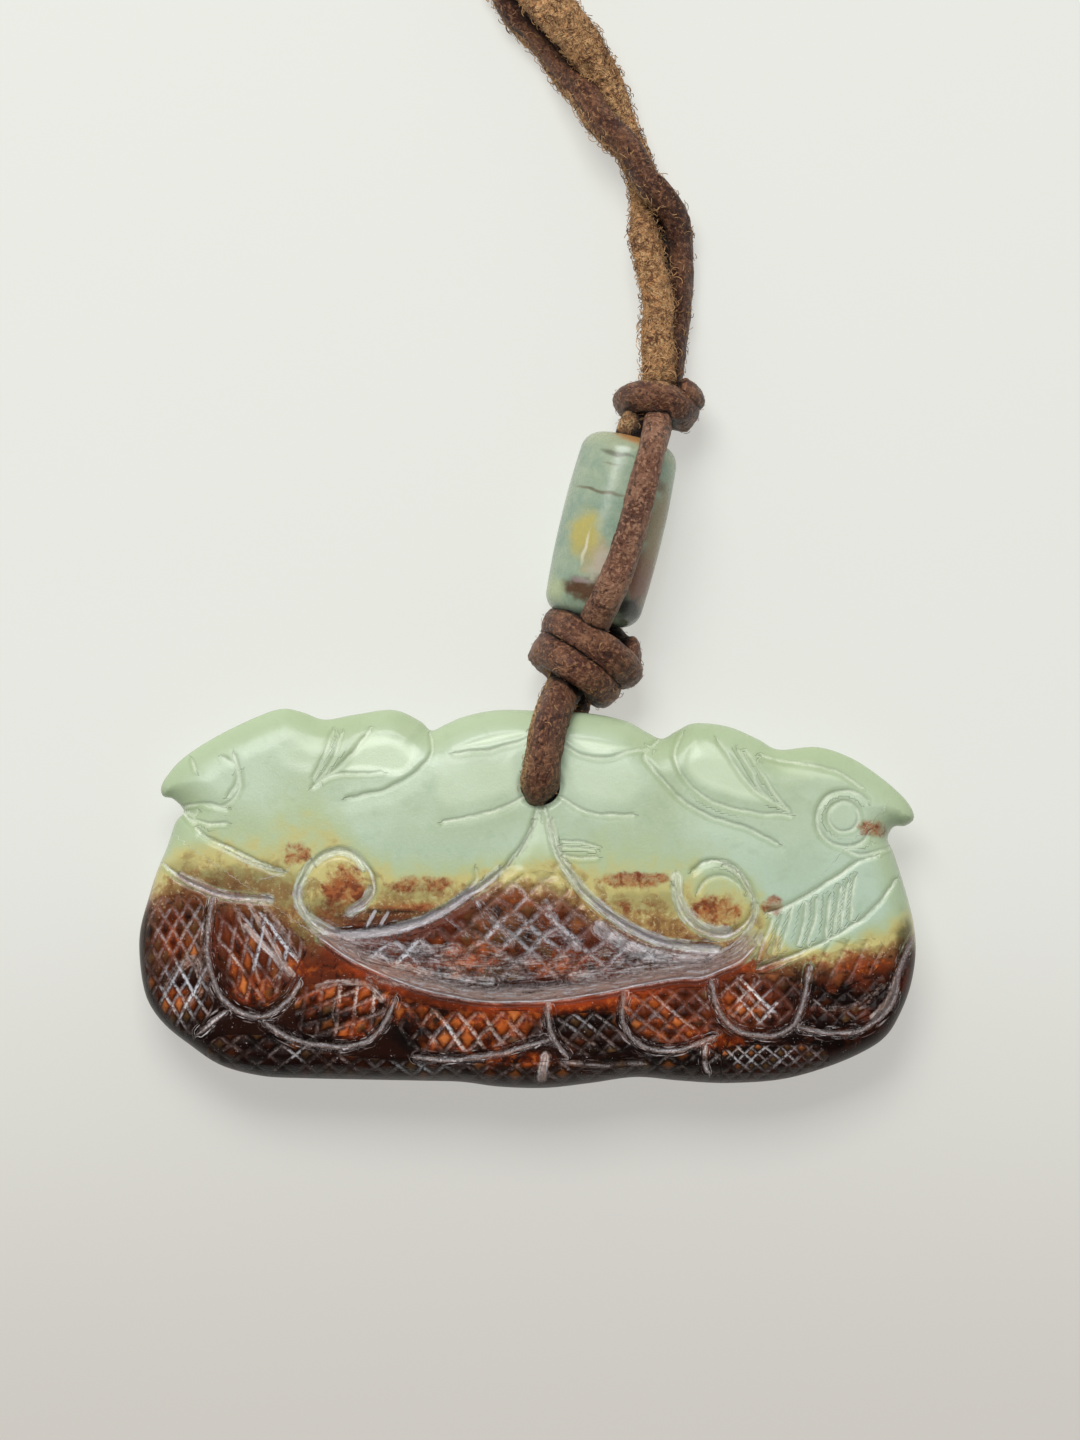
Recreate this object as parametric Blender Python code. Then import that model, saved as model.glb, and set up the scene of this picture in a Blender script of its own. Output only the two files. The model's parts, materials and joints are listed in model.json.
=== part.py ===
"""Carved jade pendant on a leather thong with a jade bead, lying face up.

The frame: +X along the pendant's width, +Y towards the thong, +Z out of the carved face. The origin is
under the middle of the pendant, on the surface that it lies on. Sizes in this file are millimetres, and
every mesh is made in metres by the factor MM.
"""

import math

import bmesh
import bpy
import numpy as np
from mathutils import Vector
from mathutils.geometry import delaunay_2d_cdt

MM = 0.001
UPWARDS = Vector((0.0, 0.0, 1.0))

# Pendant, front and back
PENDANT_HALF_WIDTH = 32.3
PENDANT_HALF_HEIGHT = 15.7
CROWN_HEIGHT = 9.0
CROWN_Y = -3.0
CROWN_FALL_TO_ENDS = 1.8
CROWN_FALL_TO_TOP = 0.8
RIM_HEIGHT = 4.3
RIM_RISE_TO_TOP = 1.3
FRONT_ROUND = 1.5
BACK_ROUND = 5.0
CARVING_ENDS_AT = 0.7
CARVING_FULL_AT = 1.6
BACK_LIFT = 3.2
BACK_LIFT_FROM = 2.6
BACK_LIFT_TO = 8.4

HOLE_CENTRE = (1.1, 9.2)
HOLE_RADIUS = 1.9
HOLE_SIDES = 20

# Bead
BEAD_LENGTH = 15.6
BEAD_RADIUS = 4.3
BEAD_END_RADIUS = 4.05
BEAD_EDGE_ROUND = 1.9
BEAD_BORE_RADIUS = 1.8
BEAD_SIDES = 22
BEAD_CENTRE = (7.0, 30.9, 4.4)
BEAD_LEAN = math.radians(13.5)

# Thong
CORD_RADIUS = 1.4
CORD_STEP = 2.6
CLEARANCE = 0.3

# Coil of the free length, just past the far end of the strands
COIL_CENTRE = (13.4, 108.0)
COIL_INNER_RADIUS = 10.7
COIL_OUTER_RADIUS = 21.1
COIL_BOTTOM = 0.7
COIL_TOP = 6.6
COIL_EDGE_ROUND = 1.3
TIE_THICKNESS = 0.4
TIE_WIDTH = 2.4
TIE_ROOM_AT_THE_HOLE = 0.2

# Knots. A wrap is given by its place along the strands, then its half width and half height.
LOWER_KNOT = {
    "centre": (4.7, 20.1, 4.1), "along": (0.6, 0.8), "core_radius": 2.2, "core_half": 2.3,
    "wraps": [(-0.95, 2.5, 2.7), (0.75, 2.7, 2.6)],
}
UPPER_KNOT = {
    "centre": (10.9, 41.5, 3.6), "along": (0.35, 0.937), "core_radius": 2.0, "core_half": 1.9,
    "wraps": [(-0.9, 2.1, 2.2), (0.8, 1.9, 2.0)],
}
END_KNOT = {
    "centre": (14.6, 102.8, 3.1), "along": (1.0, 0.0), "core_radius": 1.8, "core_half": 2.6,
    "wraps": [(-0.9, 1.7, 1.6), (0.9, 1.8, 1.7)],
}

# The pendant's outline, clockwise from the left beak's root, as the stretches that a carver would name
LEFT_BEAK = [(-28.5, 11.8), (-30.0, 10.2), (-30.5, 9.2), (-30.3, 8.5), (-29.5, 8.3), (-28.6, 7.3)]
LEFT_SIDE = [
    (-29.3, 6.4), (-30.0, 4.4), (-30.9, 2.2), (-31.6, -0.1), (-32.2, -2.4), (-32.3, -4.4), (-32.0, -7.0),
    (-31.4, -8.8), (-30.1, -10.5), (-28.1, -12.1), (-25.5, -13.8),
]
BOTTOM = [
    (-22.1, -14.7), (-18.5, -14.9), (-14.0, -15.0), (-9.0, -15.1), (-5.5, -15.2), (-2.3, -15.6),
    (1.5, -15.7), (5.2, -15.3), (9.0, -14.8), (12.7, -15.1), (16.5, -15.3), (21.0, -15.0),
]
RIGHT_SIDE = [
    (24.8, -14.0), (27.9, -12.7), (29.8, -11.4), (31.0, -9.5), (31.9, -7.1), (32.3, -4.4), (32.1, -1.8),
    (31.3, 1.3), (30.5, 3.8), (30.0, 5.0),
]
RIGHT_BEAK = [(30.5, 6.0), (31.5, 6.1), (32.2, 6.8), (31.5, 8.2), (29.5, 10.0), (26.9, 11.7), (24.1, 12.6)]
RIGHT_EAR_TOP = [(20.9, 12.4), (19.1, 13.3), (16.7, 14.3), (14.0, 14.6), (12.5, 14.0), (11.2, 13.3)]
CREST = [
    (10.0, 13.8), (8.1, 14.8), (5.2, 15.4), (1.5, 15.6), (-2.3, 15.7), (-5.1, 15.2), (-6.8, 14.5),
    (-8.0, 14.0),
]
LEFT_EAR_TOP = [
    (-9.0, 14.8), (-11.2, 15.7), (-14.4, 15.3), (-16.9, 14.9), (-18.7, 15.5), (-20.3, 15.8),
    (-22.1, 15.3), (-25.5, 13.7),
]
OUTLINE = LEFT_BEAK + LEFT_SIDE + BOTTOM + RIGHT_SIDE + RIGHT_BEAK + RIGHT_EAR_TOP + CREST + LEFT_EAR_TOP

# Carved lines: each line's points, its depth, and how far its cut slopes out on its left and on its right
CRESCENT = [
    ([(-17.9, -2.6), (-14.8, -5.1), (-10.6, -7.2), (-5.6, -8.5), (-0.6, -8.7), (4.4, -8.2), (9.4, -7.3),
      (14.4, -6.5), (17.7, -5.2), (19.0, -2.6)], 0.75, 1.9, 0.3),
    ([(0.8, 7.0), (-0.2, 4.9), (-2.3, 2.4), (-4.8, 0.3), (-7.7, -1.2), (-10.6, -2.2),
      (-13.5, -2.7)], 0.5, 1.2, 0.4),
    ([(1.5, 7.0), (2.3, 3.7), (4.4, 0.6), (7.3, -1.9), (10.6, -3.7), (14.4, -4.1)], 0.5, 0.4, 1.2),
]
SCALES = [
    ([(-26.1, -0.2), (-26.4, -3.8), (-25.5, -7.8), (-22.6, -9.5), (-19.8, -8.5), (-18.6, -7.1),
      (-15.2, -7.0)], 0.45, 0.6, 0.3),
    ([(-21.5, -10.2), (-19.1, -11.8), (-15.6, -12.2), (-12.6, -11.5), (-11.1, -8.6)], 0.45, 0.6, 0.3),
    ([(-10.0, -12.6), (-6.5, -13.4), (-2.3, -13.0), (1.8, -11.8)], 0.45, 0.6, 0.3),
    ([(1.8, -8.9), (1.9, -10.6), (3.2, -13.0)], 0.45, 0.5, 0.5),
    ([(7.9, -7.9), (7.9, -10.1), (9.4, -12.2), (12.3, -12.6), (15.3, -11.5)], 0.45, 0.6, 0.3),
    ([(15.3, -6.8), (15.9, -9.4), (18.1, -11.2), (21.0, -11.2), (22.7, -8.8),
      (23.3, -5.9)], 0.45, 0.6, 0.3),
    ([(22.7, -10.9), (25.4, -11.4), (27.9, -10.8), (29.9, -8.7), (30.6, -5.5)], 0.45, 0.6, 0.3),
]
WING_BARS = [
    ([(-28.3, 6.6), (-26.9, 5.1), (-24.6, 4.1), (-22.1, 2.8), (-20.3, 2.2)], 0.35, 0.3, 0.6),
    ([(-30.2, 2.6), (-28.8, 1.7), (-26.3, 0.6), (-24.0, 0.0), (-21.0, -0.2)], 0.35, 0.3, 0.6),
    ([(29.2, 3.7), (26.9, 3.0), (24.8, 1.2), (21.9, -0.3), (20.0, -1.1)], 0.35, 0.3, 0.6),
    ([(30.5, 1.0), (28.5, -1.0), (26.3, -3.0), (23.0, -4.2), (18.1, -5.9)], 0.35, 0.3, 0.6),
]
EARS = [
    ([(-8.0, 13.4), (-8.2, 11.8), (-10.0, 9.9), (-12.3, 8.6), (-15.1, 8.2)], 0.5, 2.2, 0.4),
    ([(-15.9, 13.8), (-16.7, 11.6), (-17.8, 9.4)], 0.35, 0.6, 0.6),
    ([(-13.1, 13.9), (-15.0, 11.8), (-17.2, 9.8), (-12.5, 10.2)], 0.3, 0.5, 0.5),
    ([(10.8, 13.0), (9.8, 11.8), (11.7, 9.1), (14.8, 6.8), (18.4, 5.7), (21.5, 4.2)], 0.5, 0.4, 2.2),
    ([(12.8, 12.9), (13.2, 10.3), (15.6, 8.0), (19.0, 7.2), (21.7, 6.8)], 0.4, 1.6, 0.4),
    ([(15.7, 13.2), (18.4, 9.3), (21.4, 7.4)], 0.35, 0.5, 0.5),
    ([(18.2, 12.2), (19.9, 9.5), (21.9, 7.6)], 0.35, 0.5, 0.5),
    ([(19.8, 11.8), (22.7, 11.0), (25.7, 10.7), (27.7, 9.2)], 0.4, 0.4, 1.0),
]
CREST_LINES = [
    ([(-6.3, 11.8), (-3.0, 12.2), (0.1, 13.2)], 0.3, 0.4, 1.0),
    ([(2.9, 12.7), (6.0, 11.6), (9.4, 12.2)], 0.3, 0.4, 1.0),
    ([(-6.7, 6.2), (-3.1, 6.9), (-1.2, 7.8)], 0.25, 0.4, 0.7),
    ([(3.4, 8.0), (5.2, 7.1), (8.4, 6.8)], 0.25, 0.4, 0.7),
]
CARVED_LINES = CRESCENT + SCALES + WING_BARS + EARS + CREST_LINES

# Carved rings, as centre, radius, start and end of the arc in degrees, depth, slope inwards and outwards
RINGS = [
    ((-15.7, 0.9), 3.0, 20, 300, 0.6, 0.8, 0.3),
    ((15.9, -0.4), 3.1, -70, 230, 0.6, 0.8, 0.3),
    ((26.3, 6.4), 1.3, 0, 340, 0.3, 0.3, 0.4),
    ((26.3, 6.4), 2.4, 60, 330, 0.35, 0.4, 0.5),
    ((-26.0, 9.7), 2.0, -110, 110, 0.25, 0.4, 0.4),
]

# Thong routes. The loop runs from the knot under the pendant's edge, up the hole and back over the edge.
LOOP_ROUTE = [
    (4.2, 19.6, 2.6), (3.6, 17.8, 1.5), (3.0, 16.0, 1.45), (2.3, 13.8, 1.45), (1.6, 11.6, 1.45),
    (1.2, 10.2, 1.75), (1.1, 9.35, 3.0), (1.1, 9.1, 4.6), (1.1, 9.1, 6.6), (1.1, 9.25, 8.2),
    (1.15, 9.8, 9.4), (1.3, 10.9, 10.1), (1.55, 12.4, 10.2), (1.8, 14.0, 10.1), (2.1, 15.5, 9.6),
    (2.5, 16.8, 8.4), (3.2, 17.9, 6.9), (4.0, 19.2, 5.4),
]
BORE_ROUTE = [
    (4.9, 20.6, 4.2), (5.2, 23.4, 4.35), (5.8, 25.9, 4.35), (6.96, 30.75, 4.35), (8.1, 35.6, 4.35),
    (8.75, 38.1, 4.35), (9.7, 40.4, 4.0),
]
OUTER_ROUTE = [
    (4.8, 20.6, 5.4), (5.3, 21.6, 7.6), (5.9, 22.9, 9.4), (6.9, 25.2, 10.5), (8.0, 28.2, 10.6),
    (8.8, 31.2, 10.5), (9.7, 34.4, 10.3), (10.3, 37.0, 9.8), (10.7, 39.1, 8.3), (10.9, 40.4, 6.4),
    (11.0, 41.4, 4.6),
]
STUB_LEFT = [(10.9, 41.6, 4.6), (10.9, 43.2, 5.3), (10.9, 44.4, 5.15)]
STUB_RIGHT = [(11.1, 41.4, 2.9), (11.6, 43.0, 2.3), (11.9, 44.05, 1.95)]

STRAND_LEFT = [
    (10.9, 44.9, 5.1), (10.9, 47.0, 4.7), (10.9, 49.8, 4.2), (10.6, 52.5, 4.0), (9.9, 55.0, 3.4),
    (9.0, 57.0, 2.2), (8.7, 58.9, 1.45), (8.9, 60.7, 1.45), (8.9, 62.8, 1.45), (8.5, 65.1, 1.45),
    (7.9, 67.5, 1.5), (6.8, 69.8, 2.3), (5.0, 72.3, 3.6), (2.7, 74.9, 4.1), (0.5, 77.5, 4.1),
    (-1.3, 80.3, 4.1), (-2.8, 83.6, 4.2), (-4.1, 87.6, 4.5), (-4.9, 92.0, 4.8),
]
STRAND_RIGHT = [
    (12.0, 44.7, 1.9), (12.2, 47.0, 1.6), (12.5, 49.8, 1.5), (12.7, 52.5, 1.45), (12.8, 55.0, 1.5),
    (12.4, 57.0, 2.0), (11.4, 58.9, 3.5), (10.2, 60.6, 4.5), (8.7, 62.7, 4.65), (6.7, 65.2, 4.35),
    (4.6, 67.6, 3.1), (3.1, 69.8, 1.7), (1.7, 72.1, 1.45), (0.1, 74.7, 1.45), (-1.6, 77.1, 1.45),
    (-3.2, 79.8, 1.45), (-4.6, 82.9, 1.45), (-5.5, 86.6, 1.5), (-6.1, 91.0, 1.7),
]


def clear_scene():
    for item in list(bpy.data.objects):
        bpy.data.objects.remove(item)


def material(name, colour, roughness):
    made = bpy.data.materials.new(name)
    made.use_nodes = True
    shader = made.node_tree.nodes["Principled BSDF"]
    shader.inputs["Base Color"].default_value = (*colour, 1.0)
    shader.inputs["Roughness"].default_value = roughness
    shader.inputs["Metallic"].default_value = 0.0
    return made


def add_object(name, shape, finish):
    """Put a mesh or a curve in the scene under its piece's name."""
    made = bpy.data.objects.new(name, shape)
    bpy.context.scene.collection.objects.link(made)
    if finish:
        shape.materials.append(finish)
    return made


def smooth_curve(points, step, closed=False):
    """An even run of points, about step apart, on the smooth curve through the given ones."""
    nodes = np.array(points, dtype=float)
    count = len(nodes)
    if closed:
        padded = np.vstack([nodes[-1:], nodes, nodes[:2]])
        spans = count
    else:
        padded = np.vstack([2 * nodes[0] - nodes[1], nodes, 2 * nodes[-1] - nodes[-2]])
        spans = count - 1
    t = np.linspace(0.0, 1.0, 24, endpoint=False)[:, None]
    dense = []
    for i in range(spans):
        before, start, end, after = padded[i : i + 4]
        dense.append(
            0.5 * (2 * start + (end - before) * t + (2 * before - 5 * start + 4 * end - after) * t**2
                   + (3 * start - before - 3 * end + after) * t**3)
        )
    dense.append(padded[spans + 1][None, :])
    dense = np.vstack(dense)
    lengths = np.concatenate([[0.0], np.cumsum(np.linalg.norm(np.diff(dense, axis=0), axis=1))])
    pieces = max(2, round(lengths[-1] / step))
    wanted = np.linspace(0.0, lengths[-1], pieces + 1)
    if closed:
        wanted = wanted[:-1]
    return np.stack([np.interp(wanted, lengths, dense[:, k]) for k in range(dense.shape[1])], axis=1)


def arc(centre, radius, start, end, step):
    pieces = max(4, round(radius * math.radians(abs(end - start)) / step))
    turns = np.radians(np.linspace(start, end, pieces + 1))
    return np.stack([centre[0] + radius * np.cos(turns), centre[1] + radius * np.sin(turns)], axis=1)


def signed_distance(points, line):
    """Each point's distance to a line of points, positive on the line's left."""
    start = line[:-1]
    along = line[1:] - start
    offset = points[:, None, :] - start[None, :, :]
    share = np.clip((offset * along).sum(axis=2) / (along**2).sum(axis=1), 0.0, 1.0)
    gap = offset - share[:, :, None] * along
    distance = np.linalg.norm(gap, axis=2)
    nearest = distance.argmin(axis=1)
    rows = np.arange(len(points))
    side = along[nearest, 0] * gap[rows, nearest, 1] - along[nearest, 1] * gap[rows, nearest, 0]
    return np.where(side < 0.0, -1.0, 1.0) * distance[rows, nearest]


def smoothstep(low, high, value):
    t = np.clip((value - low) / (high - low), 0.0, 1.0)
    return t * t * (3.0 - 2.0 * t)


def inside(points, ring):
    """True for each point inside a closed ring of points."""
    x, y = points[:, 0:1], points[:, 1:2]
    x1, y1 = ring[:, 0], ring[:, 1]
    x2, y2 = np.roll(x1, -1), np.roll(y1, -1)
    crosses = (y1 > y) != (y2 > y)
    at = (x2 - x1) * (y - y1) / np.where(y2 == y1, 1e-9, y2 - y1) + x1
    return (crosses & (x < at)).sum(axis=1) % 2 == 1


class Carving:
    """The pendant's outline, its carved lines, and the heights of its two faces."""

    OUTLINE_STEP = 0.95
    LINE_STEP = 1.1

    def __init__(self):
        self.outline = smooth_curve(OUTLINE, self.OUTLINE_STEP, closed=True)
        self.closed_outline = np.vstack([self.outline, self.outline[:1]])
        self.lines = [
            (smooth_curve(points, self.LINE_STEP), depth, left, right)
            for points, depth, left, right in CARVED_LINES
        ]
        self.lines += [
            (arc(centre, radius, start, end, min(self.LINE_STEP, 0.4 * radius)), depth, inwards, outwards)
            for centre, radius, start, end, depth, inwards, outwards in RINGS
        ]

    def to_edge(self, points):
        return np.abs(signed_distance(points, self.closed_outline))

    def relief(self, points):
        """How deep the carved lines cut below the crown."""
        cut = np.zeros(len(points))
        for line, depth, left, right in self.lines:
            distance = signed_distance(points, line)
            share = np.abs(distance) / np.where(distance > 0.0, left, right)
            cut = np.maximum(cut, depth * np.clip(1.0 - share, 0.0, 1.0))
        return cut

    def rim(self, points):
        return RIM_HEIGHT + RIM_RISE_TO_TOP * smoothstep(3.0, 12.0, points[:, 1])

    def front(self, points):
        x, y = points[:, 0], points[:, 1]
        crown = CROWN_HEIGHT - CROWN_FALL_TO_ENDS * (x / PENDANT_HALF_WIDTH) ** 2
        crown = crown - CROWN_FALL_TO_TOP * ((y - CROWN_Y) / PENDANT_HALF_HEIGHT) ** 2
        edge = self.to_edge(points)
        share = np.clip(edge / FRONT_ROUND, 0.0, 1.0)
        rounded = np.sqrt(1.0 - (1.0 - share) ** 2)
        rim = self.rim(points)
        share_carved = smoothstep(CARVING_ENDS_AT, CARVING_FULL_AT, edge)
        return rim + (crown - rim) * rounded - self.relief(points) * share_carved

    def back(self, points):
        lift = BACK_LIFT * smoothstep(BACK_LIFT_FROM, BACK_LIFT_TO, points[:, 1])
        share = np.clip(self.to_edge(points) / BACK_ROUND, 0.0, 1.0)
        rounded = 1.0 - np.sqrt(1.0 - (1.0 - share) ** 2)
        return lift + (self.rim(points) - lift) * rounded


class Points:
    """Plan points that keep their distance from each other."""

    def __init__(self, first):
        self.kept = np.array(first, dtype=float)
        self.edges = []

    def add(self, new, apart):
        for point in new:
            if np.min(np.sum((self.kept - point) ** 2, axis=1)) > apart * apart:
                self.kept = np.vstack([self.kept, point])

    def add_line(self, line):
        """A line whose points are joined by edges that the triangles must keep."""
        first = len(self.kept)
        self.kept = np.vstack([self.kept, line])
        self.edges += [(first + i, first + i + 1) for i in range(len(line) - 1)]


def inset_ring(carving, depth, step):
    """Points a given depth inside the outline, left out where two sides come too near each other."""
    ring = smooth_curve(OUTLINE, step, closed=True)
    along = np.roll(ring, -1, axis=0) - np.roll(ring, 1, axis=0)
    along /= np.linalg.norm(along, axis=1)[:, None]
    moved = ring + depth * np.stack([-along[:, 1], along[:, 0]], axis=1)
    good = inside(moved, carving.outline) & (carving.to_edge(moved) > 0.93 * depth)
    return moved[good]


def fill_points(carving, step, margin):
    """A staggered grid of plan points that stays a margin inside the outline."""
    found = []
    rows = np.arange(-PENDANT_HALF_HEIGHT, PENDANT_HALF_HEIGHT, step * 0.87)
    for i, y in enumerate(rows):
        shift = 0.5 * step * (i % 2)
        found += [(x + shift, y) for x in np.arange(-PENDANT_HALF_WIDTH, PENDANT_HALF_WIDTH, step)]
    found = np.array(found)
    return found[inside(found, carving.outline) & (carving.to_edge(found) > margin)]


def plan_of_front(carving):
    plan = Points(carving.outline)
    for depth, step, apart in ((0.2, 0.95, 0.15), (0.65, 1.1, 0.4)):
        plan.add(inset_ring(carving, depth, step), apart)
    for line, _, _, _ in carving.lines:
        good = inside(line, carving.outline) & (carving.to_edge(line) > 1.0)
        plan.add_line(line[good])
    plan.add(inset_ring(carving, FRONT_ROUND, 1.5), 0.4)
    for line, _, left, right in carving.lines:
        along = np.gradient(line, axis=0)
        along /= np.linalg.norm(along, axis=1)[:, None]
        side = np.stack([-along[:, 1], along[:, 0]], axis=1)
        for border in (line + left * side, line - right * side):
            good = inside(border, carving.outline) & (carving.to_edge(border) > 1.0)
            plan.add(border[good], 0.28)
    plan.add(fill_points(carving, 2.1, FRONT_ROUND), 1.1)
    return plan


def plan_of_back(carving):
    plan = Points(carving.outline)
    for depth, step in ((0.5, 1.5), (1.7, 2.0), (3.2, 2.6), (BACK_ROUND, 3.2)):
        plan.add(inset_ring(carving, depth, step), 0.45 * step)
    plan.add(fill_points(carving, 2.6, 1.5), 1.4)
    return plan


def add_face(shape, plan, carving, height, faces_up):
    """Triangulate a plan inside the outline and lift each of its points to the height of its face."""
    ring = len(carving.outline)
    edges = [(i, (i + 1) % ring) for i in range(ring)] + plan.edges
    flat, _, triangles, _, _, _ = delaunay_2d_cdt([Vector(p) for p in plan.kept], edges, [], 0, 1e-5)
    flat = np.array([(p.x, p.y) for p in flat])
    corners = np.array([tuple(t) for t in triangles if len(t) == 3])
    corners = corners[inside(flat[corners].mean(axis=1), carving.outline)]
    levels = height(flat)
    on_edge = carving.to_edge(flat) < 1e-3
    levels[on_edge] = carving.rim(flat[on_edge])
    used = np.unique(corners)
    vertices = {i: shape.verts.new((flat[i, 0] * MM, flat[i, 1] * MM, levels[i] * MM)) for i in used}
    for a, b, c in corners:
        order = (a, b, c) if faces_up else (c, b, a)
        shape.faces.new([vertices[i] for i in order])


def finished_mesh(name, shape, smooth_angle=35.0):
    mesh = bpy.data.meshes.new(name)
    shape.to_mesh(mesh)
    shape.free()
    mesh.shade_smooth()
    mesh.set_sharp_from_angle(angle=math.radians(smooth_angle))
    return mesh


def turned(name, profile, sides):
    """A closed body of revolution about Z from a closed profile of (radius, height), anticlockwise."""
    shape = bmesh.new()
    rings = []
    for radius, height in profile:
        ring = []
        for k in range(sides):
            turn = 2.0 * math.pi * k / sides
            place = Vector((radius * math.cos(turn), radius * math.sin(turn), height))
            ring.append(shape.verts.new(place * MM))
        rings.append(ring)
    for i in range(len(rings)):
        low, high = rings[i], rings[(i + 1) % len(rings)]
        for k in range(sides):
            m = (k + 1) % sides
            shape.faces.new((low[k], low[m], high[m], high[k]))
    return finished_mesh(name, shape)


def tube(name, route, radius, step=1.2, sides=8):
    """A closed round tube along a smooth curve, with flat ends."""
    line = smooth_curve(route, step) * MM
    shape = bmesh.new()
    rings = []
    heading = Vector(line[1] - line[0]).normalized()
    across = heading.orthogonal().normalized()
    for i, point in enumerate(line):
        ahead = Vector(line[min(i + 1, len(line) - 1)] - line[max(i - 1, 0)]).normalized()
        across = heading.rotation_difference(ahead) @ across
        heading = ahead
        up = heading.cross(across)
        ring = []
        for k in range(sides):
            turn = 2.0 * math.pi * k / sides
            place = Vector(point) + radius * MM * (math.cos(turn) * across + math.sin(turn) * up)
            ring.append(shape.verts.new(place))
        rings.append(ring)
    for low, high in zip(rings, rings[1:]):
        for k in range(sides):
            m = (k + 1) % sides
            shape.faces.new((low[k], low[m], high[m], high[k]))
    shape.faces.new(rings[0][::-1])
    shape.faces.new(rings[-1])
    return finished_mesh(name, shape)


def wrap(name, centre, along, half_width, half_height, radius, turns=14, sides=8):
    """One wrap of a knot: a closed ring of cord that stands on edge, with its width along a direction."""
    middle = Vector(centre)
    width = Vector(along).normalized()
    shape = bmesh.new()
    rings = []
    for i in range(turns):
        turn = 2.0 * math.pi * i / turns
        place = middle + math.cos(turn) * half_width * width + math.sin(turn) * half_height * UPWARDS
        ahead = -math.sin(turn) * half_width * width + math.cos(turn) * half_height * UPWARDS
        out = (math.cos(turn) * half_height * width + math.sin(turn) * half_width * UPWARDS).normalized()
        side = out.cross(ahead.normalized())
        ring = []
        for k in range(sides):
            angle = 2.0 * math.pi * k / sides
            point = place + radius * (math.cos(angle) * out + math.sin(angle) * side)
            ring.append(shape.verts.new(point * MM))
        rings.append(ring)
    for i in range(turns):
        low, high = rings[i], rings[(i + 1) % turns]
        for k in range(sides):
            m = (k + 1) % sides
            shape.faces.new((low[k], high[k], high[m], low[m]))
    bmesh.ops.recalc_face_normals(shape, faces=shape.faces)
    return finished_mesh(name, shape)


def knot_parts(name, knot):
    """The meshes that make an overhand knot: its wraps and the pair of strands that they hold."""
    centre = Vector(knot["centre"])
    lengthwise = Vector((*knot["along"], 0.0)).normalized()
    across = Vector((lengthwise.y, -lengthwise.x, 0.0))
    parts = [
        wrap(f"{name}_wrap_{i}", centre + shift * lengthwise, across, half_width, half_height, CORD_RADIUS)
        for i, (shift, half_width, half_height) in enumerate(knot["wraps"])
    ]
    ends = [centre + side * knot["core_half"] * lengthwise for side in (-1.0, 0.0, 1.0)]
    parts.append(tube(f"{name}_core", [tuple(p) for p in ends], knot["core_radius"], step=1.6))
    return parts


def join_as_one(name, shapes, finish):
    """One body from overlapping meshes, by Boolean unions with each of the rest."""
    body = add_object(name, shapes[0], finish)
    for i, shape in enumerate(shapes[1:]):
        part = add_object(f"{name}_part_{i}", shape, None)
        part.hide_render = True
        part.display_type = "WIRE"
        union = body.modifiers.new(f"join_{i}", "BOOLEAN")
        union.operation = "UNION"
        union.solver = "EXACT"
        union.object = part
    return body


def cut(body, cutter):
    cutter.hide_render = True
    cutter.display_type = "WIRE"
    taken = body.modifiers.new("drilled", "BOOLEAN")
    taken.operation = "DIFFERENCE"
    taken.solver = "EXACT"
    taken.object = cutter


def make_pendant(jade):
    carving = Carving()
    shape = bmesh.new()
    add_face(shape, plan_of_front(carving), carving, carving.front, True)
    add_face(shape, plan_of_back(carving), carving, carving.back, False)
    bmesh.ops.remove_doubles(shape, verts=shape.verts, dist=1e-6)
    pendant = add_object("jade_pendant", finished_mesh("jade_pendant", shape), jade)
    axis = [(*HOLE_CENTRE, height) for height in (-1.0, CROWN_HEIGHT / 2, CROWN_HEIGHT + 1.0)]
    drill = add_object("drill", tube("drill", axis, HOLE_RADIUS, step=4.0, sides=HOLE_SIDES), None)
    cut(pendant, drill)
    return pendant


def make_bead(jade):
    """A barrel turned about its bore, then laid along the thong."""
    half = BEAD_LENGTH / 2
    edge = []
    steps = 3
    for i in range(steps + 1):
        turn = 0.5 * math.pi * i / steps
        edge.append((BEAD_END_RADIUS - BEAD_EDGE_ROUND * (1 - math.sin(turn)),
                     half - BEAD_EDGE_ROUND * (1 - math.cos(turn))))
    low_end = [(BEAD_BORE_RADIUS, -half)] + [(radius, -height) for radius, height in edge]
    high_end = [(radius, height) for radius, height in reversed(edge)] + [(BEAD_BORE_RADIUS, half)]
    sides = [(BEAD_RADIUS, -half / 3), (BEAD_RADIUS, half / 3)]
    bead = add_object("jade_bead", turned("jade_bead", low_end + sides + high_end, BEAD_SIDES), jade)
    bead.location = Vector(BEAD_CENTRE) * MM
    bead.rotation_euler = (math.radians(-90.0), 0.0, -BEAD_LEAN)
    return bead


def make_knotted_stretch(leather):
    """The loop, the two knots and the two strands beside the bead, which are one stretch of thong."""
    tubes = [
        tube("loop", LOOP_ROUTE, CORD_RADIUS, step=1.5),
        tube("bore_strand", BORE_ROUTE, CORD_RADIUS, step=3.0),
        tube("outer_strand", OUTER_ROUTE, CORD_RADIUS, step=2.2),
        tube("stub_left", STUB_LEFT, CORD_RADIUS, step=1.5),
        tube("stub_right", STUB_RIGHT, CORD_RADIUS, step=1.5),
    ]
    knots = knot_parts("lower_knot", LOWER_KNOT), knot_parts("upper_knot", UPPER_KNOT)
    return join_as_one("thong_loop_and_knots", knots[0] + tubes + knots[1], leather)


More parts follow.
